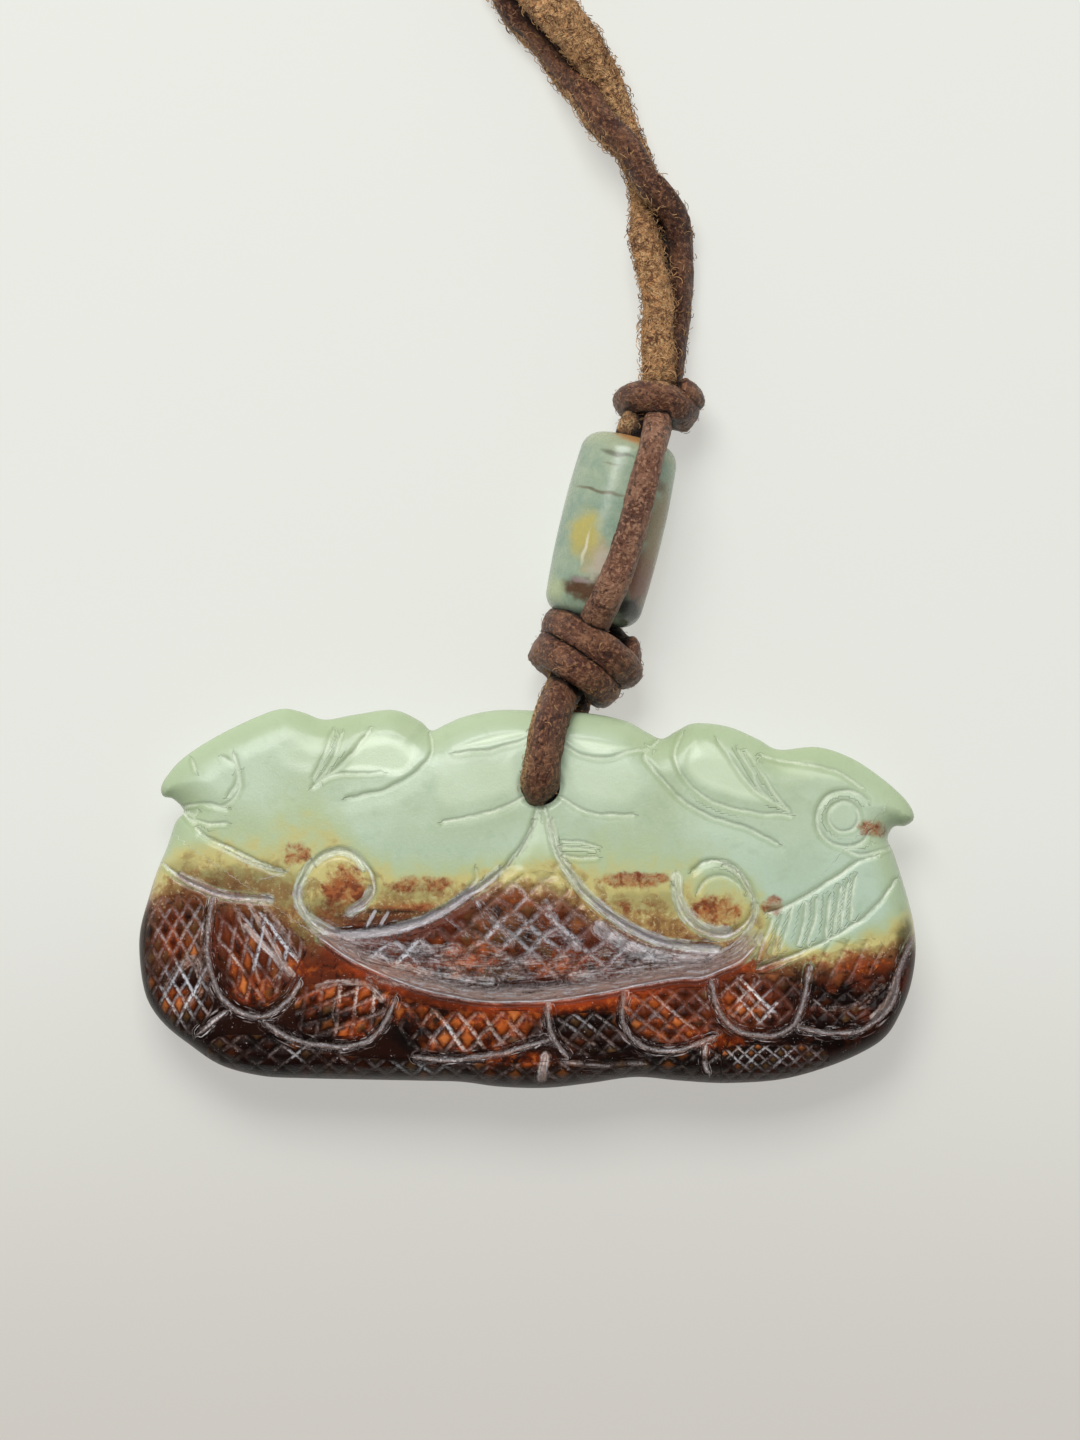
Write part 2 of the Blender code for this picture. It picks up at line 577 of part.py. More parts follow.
def make_strand(name, route, leather):
    """A free strand of the thong, as a round cord on a smooth line."""
    line = smooth_curve(route, CORD_STEP)
    curve = bpy.data.curves.new(name, "CURVE")
    curve.dimensions = "3D"
    curve.bevel_depth = CORD_RADIUS * MM
    curve.bevel_resolution = 2
    curve.use_fill_caps = True
    spline = curve.splines.new("POLY")
    spline.points.add(len(line) - 1)
    for point, place in zip(spline.points, line):
        point.co = (*(place * MM), 1.0)
    return add_object(name, curve, leather)


def rounded_section(inner, outer, low, high, round_by, steps=2):
    """A rectangle with round corners, anticlockwise, for a turned ring."""
    corners = [(outer - round_by, low + round_by, -90), (outer - round_by, high - round_by, 0),
               (inner + round_by, high - round_by, 90), (inner + round_by, low + round_by, 180)]
    section = []
    for x, y, first in corners:
        for i in range(steps + 1):
            turn = math.radians(first + 90.0 * i / steps)
            section.append((x + round_by * math.cos(turn), y + round_by * math.sin(turn)))
    return section


def make_coil(leather):
    """The outer shape of the wound strands."""
    section = rounded_section(COIL_INNER_RADIUS, COIL_OUTER_RADIUS, COIL_BOTTOM, COIL_TOP, COIL_EDGE_ROUND)
    coil = add_object("thong_coil", turned("thong_coil", section, 28), leather)
    coil.location = (COIL_CENTRE[0] * MM, COIL_CENTRE[1] * MM, 0.0)
    return coil


def make_tie(leather):
    """A short lace round the coil's section, on the coil's far side."""
    hole_side = COIL_INNER_RADIUS - TIE_ROOM_AT_THE_HOLE
    inner, outer = [
        rounded_section(hole_side - grow, COIL_OUTER_RADIUS + grow, COIL_BOTTOM - grow, COIL_TOP + grow,
                        COIL_EDGE_ROUND + grow)
        for grow in (CLEARANCE, CLEARANCE + TIE_THICKNESS)
    ]
    shape = bmesh.new()
    loops = []
    for section, side in ((inner, -0.5), (outer, -0.5), (outer, 0.5), (inner, 0.5)):
        loops.append([shape.verts.new((side * TIE_WIDTH * MM, x * MM, y * MM)) for x, y in section])
    for i in range(4):
        low, high = loops[i], loops[(i + 1) % 4]
        for k in range(len(low)):
            m = (k + 1) % len(low)
            shape.faces.new((low[k], low[m], high[m], high[k]))
    bmesh.ops.recalc_face_normals(shape, faces=shape.faces)
    tie = add_object("coil_tie", finished_mesh("coil_tie", shape), leather)
    tie.location = (COIL_CENTRE[0] * MM, COIL_CENTRE[1] * MM, 0.0)
    return tie


def make_end_knot(leather):
    """The knot that ties the two ends of the thong together, inside the coil."""
    return join_as_one("end_knot", knot_parts("end_knot", END_KNOT), leather)


def build():
    clear_scene()
    jade = material("jade", (0.55, 0.62, 0.44), 0.25)
    leather = material("leather", (0.11, 0.05, 0.035), 0.75)
    suede = material("suede", (0.38, 0.22, 0.12), 0.9)
    make_pendant(jade)
    make_bead(jade)
    make_knotted_stretch(leather)
    make_strand("thong_strand_left", STRAND_LEFT, suede)
    make_strand("thong_strand_right", STRAND_RIGHT, leather)
    make_coil(leather)
    make_tie(leather)
    make_end_knot(leather)


build()
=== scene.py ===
# %% [markdown]
# # A carved jade pendant on a leather thong
# The pendant lies face up on a pale table. A doubled leather lace comes up through its drilled hole, is
# tied in a knot, carries a barrel bead, is tied again and runs off past the edge of the picture. This
# lesson dresses the plain solids of that object: first the camera and the two free strands, because their
# length decides how much table the model covers, then the knots, the bead, and last the carving itself,
# which has most of the work in it.

# %% The frame
import json
import math
from functools import partial, reduce
from types import SimpleNamespace

import bpy
import numpy as np
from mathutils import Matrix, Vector, noise
from mathutils.bvhtree import BVHTree
from mathutils.geometry import delaunay_2d_cdt

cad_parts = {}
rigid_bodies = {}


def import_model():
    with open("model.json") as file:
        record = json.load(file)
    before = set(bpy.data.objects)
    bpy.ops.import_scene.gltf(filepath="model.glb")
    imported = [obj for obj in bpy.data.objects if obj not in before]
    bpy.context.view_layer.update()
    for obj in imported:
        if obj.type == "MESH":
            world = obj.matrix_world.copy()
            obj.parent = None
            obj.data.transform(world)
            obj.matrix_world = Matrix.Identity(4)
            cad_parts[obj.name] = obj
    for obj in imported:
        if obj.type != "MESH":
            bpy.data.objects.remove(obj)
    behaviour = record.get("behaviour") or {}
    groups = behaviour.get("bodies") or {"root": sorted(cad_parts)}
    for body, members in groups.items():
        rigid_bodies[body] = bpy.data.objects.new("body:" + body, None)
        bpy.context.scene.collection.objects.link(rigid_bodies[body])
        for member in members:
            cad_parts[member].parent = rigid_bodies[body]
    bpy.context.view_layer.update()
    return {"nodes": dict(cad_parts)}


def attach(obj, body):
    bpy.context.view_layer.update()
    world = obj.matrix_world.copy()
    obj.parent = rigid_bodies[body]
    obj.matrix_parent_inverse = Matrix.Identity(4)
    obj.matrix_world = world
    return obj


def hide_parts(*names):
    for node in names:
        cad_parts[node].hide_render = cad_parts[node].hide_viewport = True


for item in list(bpy.data.objects):
    bpy.data.objects.remove(item)
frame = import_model()
MM = 0.001
print("solids:", ", ".join(sorted(frame["nodes"])))

# %% [markdown]
# ## The camera
# The object was looked at from almost straight above, so that the table has no horizon and the bottom
# edge of the stone shows a little of its side. A long lens from half a metre away keeps the near knots
# from looking swollen. The picture is 120 mm high at the table, and its middle is a little above the
# stone.

# %% Camera
VIEW_CENTRE = Vector((1.04, 14.9, 5.0))
VIEW_HEIGHT = 120.0
VIEW_ELEVATION = math.radians(86.0)
VIEW_DISTANCE = 520.0
SENSOR = 36.0


def add_object(name, data):
    made = bpy.data.objects.new(name, data)
    bpy.context.scene.collection.objects.link(made)
    return made


camera = add_object("camera", bpy.data.cameras.new("camera"))
camera.data.sensor_width = SENSOR
camera.data.lens = SENSOR * VIEW_DISTANCE / VIEW_HEIGHT
camera.data.clip_start = 0.01
camera.data.clip_end = 10.0
away = Vector((0.0, -math.cos(VIEW_ELEVATION), math.sin(VIEW_ELEVATION)))
camera.location = (VIEW_CENTRE + VIEW_DISTANCE * away) * MM
camera.rotation_euler = (-away).to_track_quat("-Z", "Y").to_euler()
bpy.context.scene.camera = camera
print(f"camera {VIEW_DISTANCE:g} mm away with a {camera.data.lens:.0f} mm lens")

# %% [markdown]
# ## Curves through chosen points
# A thong, a carved groove and the stone's outline are all smooth lines through a few given points. One
# function turns such points into an even run along a smooth curve (Catmull-Rom), and everything below starts
# from it.

# %% Smooth lines
STEPS_PER_SPAN = 24


def smooth_line(points, step, closed=False):
    """An even run of points, about step apart, on the smooth curve through the given ones."""
    nodes = np.array(points, dtype=float)
    count = len(nodes)
    if closed:
        padded = np.vstack([nodes[-1:], nodes, nodes[:2]])
        spans = count
    else:
        padded = np.vstack([2 * nodes[0] - nodes[1], nodes, 2 * nodes[-1] - nodes[-2]])
        spans = count - 1
    t = np.linspace(0.0, 1.0, STEPS_PER_SPAN, endpoint=False)[:, None]
    dense = []
    for i in range(spans):
        before, start, end, after = padded[i : i + 4]
        square = 2 * before - 5 * start + 4 * end - after
        cube = 3 * start - before - 3 * end + after
        dense.append(0.5 * (2 * start + (end - before) * t + square * t**2 + cube * t**3))
    dense.append(padded[spans + 1][None, :])
    dense = np.vstack(dense)
    lengths = np.concatenate([[0.0], np.cumsum(np.linalg.norm(np.diff(dense, axis=0), axis=1))])
    pieces = max(2, round(lengths[-1] / step))
    wanted = np.linspace(0.0, lengths[-1], pieces + 1)
    if closed:
        wanted = wanted[:-1]
    return np.stack([np.interp(wanted, lengths, dense[:, k]) for k in range(dense.shape[1])], axis=1)


def line_length(line):
    return float(np.linalg.norm(np.diff(line, axis=0), axis=1).sum())


def smoothstep(low, high, value):
    """0 at low, 1 at high, and smooth between them. Low may be the larger number."""
    t = np.clip((value - low) / (high - low), 0.0, 1.0)
    return t * t * (3.0 - 2.0 * t)


def keep_values(mesh, name, values, kind="FLOAT"):
    """An attribute that holds one value, or one vector, for each point of a mesh."""
    made = mesh.attributes.new(name, kind, "POINT")
    made.data.foreach_set("vector" if kind == "FLOAT_VECTOR" else "value", np.ravel(values))


quarter = smooth_line([(10, 0), (7.1, 7.1), (0, 10)], 0.5)
print("a quarter circle of radius 10 is", round(line_length(quarter), 2), "long")

# %% [markdown]
# ## What the thong is made of
# The thong is a lace cut from a hide: one face is the dark, smooth grain side and the other the pale, hairy
# flesh side, and its cut edges are between the two. Two finishes come from one shader group, which mixes
# dark grain and pale flesh by an attribute on the mesh, breaks the border up with noise, and darkens the
# pits. It also paints shade where another attribute says the lace is sheltered, and paints fine bright
# specks that are partly wear and partly painted sheen. It darkens the gaps between the flesh side's curled
# fibres, partly as painted shade. The group puts out colour, roughness and a height, and each material feeds
# them to its own Principled shader.

# %% Node helpers
SOCKET_KINDS = {1: "NodeSocketFloat", 3: "NodeSocketVector", 4: "NodeSocketColor"}


def srgb(red, green, blue):
    """A colour given as it shows on a screen, 0 to 255, as the linear values that a shader takes."""
    values = []
    for part in (red, green, blue):
        share = part / 255.0
        values.append(share / 12.92 if share <= 0.04045 else ((share + 0.055) / 1.055) ** 2.4)
    return (*values, 1.0)


class Wiring:
    """A node tree that is filled from left to right."""

    def __init__(self, tree):
        self.tree = tree
        self.count = 0

    def plug(self, socket, value):
        """A socket gets a value, or a link from another node's output."""
        if isinstance(value, bpy.types.NodeSocket):
            self.tree.links.new(value, socket)
        else:
            socket.default_value = value

    def wire(self, made, **inputs):
        """A node's inputs, by name with _ for each space."""
        for name, value in inputs.items():
            self.plug(made.inputs[name.replace("_", " ")], value)

    def node(self, kind, settings=None, **inputs):
        made = self.tree.nodes.new(kind)
        made.location = (180.0 * (self.count % 12), -260.0 * (self.count // 12))
        self.count += 1
        for name, value in (settings or {}).items():
            setattr(made, name, value)
        self.wire(made, **inputs)
        return made

    def operate(self, kind, operation, values):
        made = self.node(kind, {"operation": operation})
        for socket, value in zip(made.inputs, values):
            self.plug(socket, value)
        return made.outputs

    def math(self, operation, *values):
        return self.operate("ShaderNodeMath", operation, values)[0]

    def vector_math(self, operation, *values):
        return self.operate("ShaderNodeVectorMath", operation, values)

    def times(self, *values):
        return reduce(partial(self.math, "MULTIPLY"), values)

    def plus(self, *values):
        return reduce(partial(self.math, "ADD"), values)

    def most(self, *values):
        return reduce(partial(self.math, "MAXIMUM"), values)

    def linear(self, value, slope, start):
        """The value times a slope, plus a start."""
        return self.math("MULTIPLY_ADD", value, slope, start)

    def centred(self, value, amount):
        """A noise from 0 to 1 as a change of plus or minus half the amount."""
        return self.linear(value, amount, -0.5 * amount)

    def apart(self, value, place):
        """How far a value is from a place."""
        return self.math("ABSOLUTE", self.math("SUBTRACT", value, place))

    def ramp(self, value, low, high):
        """0 where the value is low, 1 where it is high, and smooth between. Low may be the larger number."""
        smooth = {"interpolation_type": "SMOOTHSTEP"}
        made = self.node("ShaderNodeMapRange", smooth, Value=value, From_Min=low, From_Max=high)
        return made.outputs["Result"]

    def mix(self, share, first, second):
        """The first colour where the share is 0, the second where it is 1."""
        made = self.node("ShaderNodeMix", {"data_type": "RGBA"})
        for place, value in ((0, share), (6, first), (7, second)):
            self.plug(made.inputs[place], value)
        return made.outputs[2]

    def lay(self, colour, *layers):
        """Tints laid over a colour in turn, each given as where it is, how thickly, and the tint."""
        for share, amount, tint in layers:
            colour = self.mix(share if amount == 1.0 else self.times(share, amount), colour, tint)
        return colour

    def noise(self, vector, scale, detail=3.0, roughness=0.55, distortion=0.0, output="Fac"):
        made = self.node("ShaderNodeTexNoise", Vector=vector, Scale=scale, Detail=detail)
        self.wire(made, Roughness=roughness, Distortion=distortion)
        return made.outputs[output]

    def place(self):
        return self.node("ShaderNodeTexCoord").outputs["Object"]

    def scaled(self, vector, scale):
        return self.node("ShaderNodeMapping", Vector=vector, Scale=scale).outputs["Vector"]

    def point(self, x, y=0.0, z=0.0):
        return self.node("ShaderNodeCombineXYZ", X=x, Y=y, Z=z).outputs[0]

    def part(self, vector, axis):
        return self.node("ShaderNodeSeparateXYZ", Vector=vector).outputs[axis]

    def field(self, name, output="Fac"):
        """A value that the mesh holds for each of its points."""
        return self.node("ShaderNodeAttribute", {"attribute_name": name}).outputs[output]

    def bump(self, height, strength, distance):
        made = self.node("ShaderNodeBump", Height=height, Strength=strength, Distance=distance)
        return made.outputs["Normal"]

    def group(self, tree, **inputs):
        return self.node("ShaderNodeGroup", {"node_tree": tree}, **inputs).outputs


def new_group(name, inputs, outputs):
    """An empty shader group, with its inputs' names and start values, and its outputs' names."""
    group = bpy.data.node_groups.new(name, "ShaderNodeTree")
    for label, value in inputs.items():
        kind = SOCKET_KINDS[1 if isinstance(value, float) else len(value)]
        socket = group.interface.new_socket(label, in_out="INPUT", socket_type=kind)
        socket.default_value = value
    for label in outputs:
        kind = "NodeSocketColor" if label == "Color" else "NodeSocketFloat"
        group.interface.new_socket(label, in_out="OUTPUT", socket_type=kind)
    wiring = Wiring(group)
    return group, wiring, wiring.node("NodeGroupInput").outputs, wiring.node("NodeGroupOutput")


def new_material(name):
    made = bpy.data.materials.new(name)
    made.use_nodes = True
    made.node_tree.nodes.clear()
    wiring = Wiring(made.node_tree)
    shader = wiring.node("ShaderNodeBsdfPrincipled")
    wiring.node("ShaderNodeOutputMaterial", Surface=shader.outputs[0])
    return made, wiring, shader


print("a mid grey of 128 is", round(srgb(128, 128, 128)[0], 3), "to a shader")

# %% The lace's finish
def make_leather_group():
    group, w, given, out = new_group(
        "cut leather",
        {"Grain colour": (0.1, 0.05, 0.03, 1.0), "Worn colour": (0.3, 0.15, 0.08, 1.0),
         "Flesh colour": (0.4, 0.2, 0.1, 1.0), "Flesh bias": 0.0},
        ("Color", "Roughness", "Height"))
    place = w.place()
    round_and_along = w.field("grain", "Vector")
    broad = w.noise(place, 190.0, 2.0, 0.5)
    patches = w.noise(place, 430.0, 3.0, 0.6)
    threads = w.noise(w.scaled(round_and_along, (3.4, 3.4, 1.1)), 1.0, 5.0, 0.7, 0.9)
    cracks = w.noise(w.scaled(round_and_along, (2.4, 2.4, 3.4)), 1.0, 4.0, 0.65, 0.4)
    curls = w.noise(place, 1100.0, 2.0, 0.5, 1.2)
    small_curls = w.noise(place, 2100.0, 2.0, 0.5, 1.0)
    specks = w.noise(place, 3000.0, 2.0, 0.5)
    ridges = w.ramp(w.apart(curls, 0.5), 0.07, 0.0)
    small_ridges = w.ramp(w.apart(small_curls, 0.5), 0.07, 0.0)
    bare = w.plus(w.field("flesh"), given["Flesh bias"], w.centred(patches, 1.2), w.centred(threads, 2.0))
    bare = w.ramp(bare, 0.35, 0.7)
    dull, worn = given["Grain colour"], given["Worn colour"]
    grain = w.lay(
        dull,
        (w.ramp(patches, 0.4, 0.66), 0.45, worn),
        (w.ramp(broad, 0.46, 0.34), 1.0, w.mix(0.5, dull, srgb(62, 30, 22))),
        (w.ramp(threads, 0.53, 0.68), 0.8, worn),
        # fine bright specks: partly lighter wear, partly painted sheen
        (w.ramp(specks, 0.54, 0.61), 0.8, worn),
        (w.ramp(small_curls, 0.43, 0.33), 0.75, srgb(44, 22, 16)),
        (w.ramp(threads, 0.45, 0.32), 1.0, w.mix(0.7, dull, srgb(30, 14, 10))),
    )
    paler_from_here = w.ramp(w.part(place, "Y"), 0.056, 0.068)
    hide = w.lay(given["Flesh colour"], (paler_from_here, 0.5, srgb(236, 180, 126)))
    straw = srgb(238, 200, 148)
    flesh = w.lay(
        w.mix(w.ramp(cracks, 0.38, 0.6), w.mix(0.55, hide, srgb(74, 42, 26)), hide),
        (ridges, 0.75, w.mix(0.75, hide, straw)),
        # dark gaps between the curled fibres: partly the hide's own colour, partly painted shade
        (w.ramp(curls, 0.44, 0.35), 0.85, srgb(68, 38, 24)),
        (small_ridges, 0.5, w.mix(0.6, hide, straw)),
        (w.ramp(small_curls, 0.42, 0.32), 0.7, srgb(84, 50, 32)),
        (w.ramp(patches, 0.38, 0.29), 1.0, srgb(60, 34, 22)),
    )
    colour = w.lay(
        w.mix(bare, grain, flesh),
        (w.ramp(specks, 0.42, 0.3), 0.5, srgb(34, 16, 11)),
        # painted shade: darker where short rays show that the lace is sheltered by its neighbours
        (w.ramp(w.field("painted_shade"), 0.22, 0.62), 1.0, srgb(24, 12, 8)),
    )
    relief = w.linear(cracks, 0.6, w.linear(specks, 0.25, threads))
    relief = w.linear(w.times(ridges, bare), 0.5, relief)
    relief = w.linear(small_curls, 0.6, relief)
    w.wire(out, Color=colour, Roughness=w.linear(bare, 0.35, 0.42), Height=relief)
    return group


leather_group = make_leather_group()


def make_leather(name, grain, worn, flesh, bias):
    made, w, shader = new_material(name)
    hide = w.group(leather_group, Grain_colour=grain, Worn_colour=worn, Flesh_colour=flesh, Flesh_bias=bias)
    w.wire(shader, Base_Color=hide["Color"], Roughness=hide["Roughness"], Specular_IOR_Level=0.4,
           Normal=w.bump(hide["Height"], 0.9, 0.00036))
    return made


dark_leather = make_leather("dark lace", srgb(94, 56, 41), srgb(158, 112, 82), srgb(168, 120, 80), -0.1)
suede = make_leather("suede lace", srgb(108, 68, 48), srgb(176, 126, 86), srgb(208, 150, 98), 0.45)
dark_strand_leather = make_leather(
    "dark strand lace", srgb(80, 46, 33), srgb(148, 102, 72), srgb(160, 112, 74), -0.1)
worn_leather = make_leather("worn lace", srgb(122, 80, 60), srgb(178, 134, 106), srgb(180, 138, 104), -0.2)
print("finishes:", ", ".join(item.name for item in (dark_leather, suede, dark_strand_leather, worn_leather)))

# %% [markdown]
# ## A lace along a path
# The lace has a flattened, rounded section that turns about its own path, so that here its dark face
# shows and there its pale one. A curve with a bevel could make it, but its section can't change much on
# the way. So a small section is carried along the path in steps, widened, thinned and rolled as it goes,
# and pushed in and out by noise, because hide is never even. One attribute marks the flesh side, and
# another holds each point's place round and along the lace, for the streaks.

# %% A swept lace
def spread(values, shares):
    """Values given at shares of a path, for every ring of it."""
    if np.isscalar(values):
        return np.full(len(shares), float(values))
    keys = np.array(values, dtype=float)
    return np.interp(shares, keys[:, 0], keys[:, 1])


def lace_rings(line, rolls, upright):
    """For each point of a line, the directions across the lace and out of its face."""
    ahead = np.gradient(line, axis=0)
    ahead /= np.linalg.norm(ahead, axis=1)[:, None]
    across = np.zeros_like(line)
    if upright:
        across = np.cross(ahead, (0.0, 0.0, 1.0))
    else:
        side = Vector(ahead[0]).orthogonal().normalized()
        for i, heading in enumerate(ahead):
            if i:
                side = Vector(ahead[i - 1]).rotation_difference(Vector(heading)) @ side
            across[i] = side
    across /= np.linalg.norm(across, axis=1)[:, None]
    face = np.cross(across, ahead)
    turn = np.radians(rolls)[:, None]
    return np.cos(turn) * across + np.sin(turn) * face, np.cos(turn) * face - np.sin(turn) * across


LACE_SIDES = 28
LACE_SQUARENESS = 0.78
FLOOR_GAP = 0.02


def lace_arrays(route, width, thick, roll=0.0, step=0.3, seed=0.0, lumps=0.10, upright=True, tip=0.5):
    """Points, faces, flesh values, grain places and centre line of a closed lace along a route, in mm."""
    line = smooth_line(route, step)
    count = len(line)
    shares = np.linspace(0.0, 1.0, count)
    across, face = lace_rings(line, spread(roll, shares), upright)
    turns = np.linspace(0.0, 2.0 * math.pi, LACE_SIDES, endpoint=False)
    wide, tall = [np.sign(way) * np.abs(way) ** LACE_SQUARENESS for way in (np.cos(turns), np.sin(turns))]
    distance_in = np.minimum(np.arange(count), np.arange(count)[::-1]) * step
    closing = np.sqrt(1.0 - (1.0 - np.clip((distance_in + 0.15) / tip, 0.0, 1.0)) ** 2)
    half_width = 0.5 * closing * spread(width, shares)
    half_thick = 0.5 * closing * spread(thick, shares)
    outward = np.einsum("i,k,ic->ikc", half_width, wide, across)
    outward += np.einsum("i,k,ic->ikc", half_thick, tall, face)
    rings = line[:, None, :] + outward
    outward /= np.linalg.norm(outward, axis=2)[:, :, None] + 1e-9
    lengthwise = np.arange(count) * step
    push = np.zeros((count, LACE_SIDES))
    for i in range(count):
        for k in range(LACE_SIDES):
            x, y, z = math.cos(turns[k]), math.sin(turns[k]), lengthwise[i]
            push[i, k] = (noise.noise((1.1 * x, 1.1 * y, 0.33 * z + seed))
                          + 0.5 * noise.noise((3.0 * x, 3.0 * y, 1.5 * z + seed))
                          + 0.4 * noise.noise((5.0 * x, 5.0 * y, 0.7 * z - seed)))
    rings = rings + lumps * push[:, :, None] * outward * closing[:, None, None]
    rings[:, :, 2] = np.maximum(rings[:, :, 2], FLOOR_GAP)
    faces = []
    for i in range(count - 1):
        low, high = i * LACE_SIDES, (i + 1) * LACE_SIDES
        faces += [(low + k, high + k, high + (k + 1) % LACE_SIDES, low + (k + 1) % LACE_SIDES)
                  for k in range(LACE_SIDES)]
    first, last, end = count * LACE_SIDES, count * LACE_SIDES + 1, (count - 1) * LACE_SIDES
    for k in range(LACE_SIDES):
        m = (k + 1) % LACE_SIDES
        faces += [(first, k, m), (last, end + m, end + k)]
    side = 0.5 - 0.75 * np.clip(2.2 * np.sin(turns), -1.0, 1.0)
    flesh = np.append(np.tile(side, count), [0.5, 0.5])
    grain = np.column_stack([np.tile(np.cos(turns), count), np.tile(np.sin(turns), count),
                             np.repeat(lengthwise + seed, LACE_SIDES)])
    grain = np.vstack([grain, (0.0, 0.0, seed), (0.0, 0.0, seed + lengthwise[-1])])
    return np.vstack([rings.reshape(-1, 3), line[:1], line[-1:]]), faces, flesh, grain, line


def lace_object(name, stretches, finish):
    """One object from one or more stretches of lace."""
    faces = []
    base = 0
    for points, stretch_faces, _, _, _ in stretches:
        faces += [tuple(base + corner for corner in face) for face in stretch_faces]
        base += len(points)
    mesh = bpy.data.meshes.new(name)
    mesh.from_pydata((np.vstack([part[0] for part in stretches]) * MM).tolist(), [], faces)
    keep_values(mesh, "flesh", np.concatenate([part[2] for part in stretches]))
    keep_values(mesh, "grain", np.vstack([part[3] for part in stretches]), "FLOAT_VECTOR")
    mesh.shade_smooth()
    mesh.materials.append(finish)
    return add_object(name, mesh)


print("the lace is drawn with", LACE_SIDES, "sides")

# %% [markdown]
# ## The two free strands
# Above the second knot the thong's two ends run free. They twist over each other and leave the picture
# at its top edge. Such a thong is about 60 cm round, so each strand is about 33 cm long, of which the
# picture shows about four. The rest is wound up flat just outside the picture, one strand's turns on the
# other's, and the two ends meet in a knot inside the coil. The routes are the same as the solids'.

# %% Routes of the strands
STRAND_LEFT = [
    (10.9, 42.6, 4.9), (10.9, 44.9, 5.1), (10.9, 47, 4.7), (10.9, 49.8, 4.2), (10.5, 52.5, 4),
    (10, 55, 3.4), (9.9, 57, 2.2), (9.9, 58.9, 1.45), (9.7, 60.7, 1.4), (9, 62.8, 1.4), (7.8, 65.1, 1.45),
    (7, 67.7, 1.5), (5.6, 70.2, 2.4), (4.3, 72.5, 3.4), (2.1, 74.9, 4), (0.2, 77.5, 4.1), (-1.4, 80.3, 4.1),
    (-2.8, 83.6, 4.2), (-4.1, 87.6, 4.5), (-4.9, 92, 4.8), (-6, 97.5, 5.1),
]
STRAND_RIGHT = [
    (11.6, 42.4, 2.4), (12, 44.7, 1.9), (12.2, 47, 1.6), (12.5, 49.8, 1.5), (12.6, 52.5, 1.45),
    (12.6, 55, 1.5), (12.3, 57, 2.2), (11.4, 58.8, 3.7), (9.9, 60.4, 4.5), (8.7, 62.7, 4.5),
    (6.2, 65.2, 4.2), (4.8, 67.6, 3.3), (3.1, 70, 1.9), (1.4, 72.5, 1.45), (-0.8, 74.9, 1.45),
    (-2.1, 77.1, 1.45), (-3.4, 79.8, 1.45), (-4.6, 82.9, 1.45), (-5.5, 86.6, 1.5), (-6.1, 91, 1.7),
    (-6.2, 96.5, 2),
]
COIL_CENTRE = (13.4, 108.0)
COIL_START_RADIUS = 19.6
COIL_END_RADIUS = 12.1
COIL_TURNS = 2.5
POINTS_PER_TURN = 14
END_KNOT = (14.6, 102.8)
UPPER_LAYER = 5.1
LOWER_LAYER = 2.1
UPPER_IN_KNOT = 4.4
LOWER_IN_KNOT = 1.9
STRAND_STEP = 0.4


def coil_route(height):
    """A flat spiral, entered on its west side heading north, that ends on its east side."""
    found = []
    count = round(COIL_TURNS * POINTS_PER_TURN)
    for i in range(count + 1):
        share = i / count
        radius = COIL_START_RADIUS + (COIL_END_RADIUS - COIL_START_RADIUS) * share
        turn = math.pi - 2.0 * math.pi * COIL_TURNS * share
        east, north = radius * math.cos(turn), radius * math.sin(turn)
        found.append((COIL_CENTRE[0] + east, COIL_CENTRE[1] + north, height))
    return found


def into_end_knot(height, knot_height):
    middle = 0.5 * (height + knot_height)
    return [(24.5, 104.2, height), (22.2, 102.4, middle), (19.6, 102.3, middle),
            (END_KNOT[0] + 2.0, END_KNOT[1] - 0.2, knot_height)]


left_route = STRAND_LEFT + coil_route(UPPER_LAYER) + into_end_knot(UPPER_LAYER, UPPER_IN_KNOT)
right_route = STRAND_RIGHT + coil_route(LOWER_LAYER) + into_end_knot(LOWER_LAYER, LOWER_IN_KNOT)
left_length = line_length(smooth_line(left_route, STRAND_STEP))
right_length = line_length(smooth_line(right_route, STRAND_STEP))
print(f"the strands are {left_length:.0f} and {right_length:.0f} mm long")

# %% The strands
left_arrays = lace_arrays(
    left_route, step=STRAND_STEP, seed=3.0, lumps=0.2,
    width=[(0.0, 2.7), (0.04, 2.5), (0.052, 2.3), (0.07, 2.9), (0.085, 3.3), (0.11, 3.7), (0.14, 3.2),
           (0.17, 2.95), (1.0, 2.95)],
    thick=[(0.0, 2.3), (0.04, 2.5), (0.11, 2.3), (0.14, 2.5), (1.0, 2.6)],
    roll=[(0.0, 180.0), (0.05, 185.0), (0.1, 165.0), (0.14, 180.0), (1.0, 180.0)])
right_arrays = lace_arrays(
    right_route, step=STRAND_STEP, seed=11.0, lumps=0.18,
    width=[(0.0, 2.7), (0.03, 2.6), (0.047, 2.6), (0.06, 2.2), (0.08, 2.15), (0.1, 2.3), (0.14, 2.95),
           (1.0, 2.95)],
    thick=[(0.0, 2.4), (0.04, 2.5), (1.0, 2.6)],
    roll=[(0.0, -100.0), (0.03, -60.0), (0.05, -10.0), (0.08, -40.0), (0.14, 0.0), (1.0, 0.0)])
strand_left = lace_object("strand_left", [left_arrays], suede)
strand_right = lace_object("strand_right", [right_arrays], dark_strand_leather)

# %% [markdown]
# ## The end knot and the coil's tie
# The two ends are held together by an overhand knot, whose wraps stand side by side, with short tails
# left over. A strip of the same hide is put round the coil to keep it, and its ends overlap. Both are
# made from the same lace as the strands, along closed and half closed loops.

# %% Wraps
WRAP_POINTS = 18


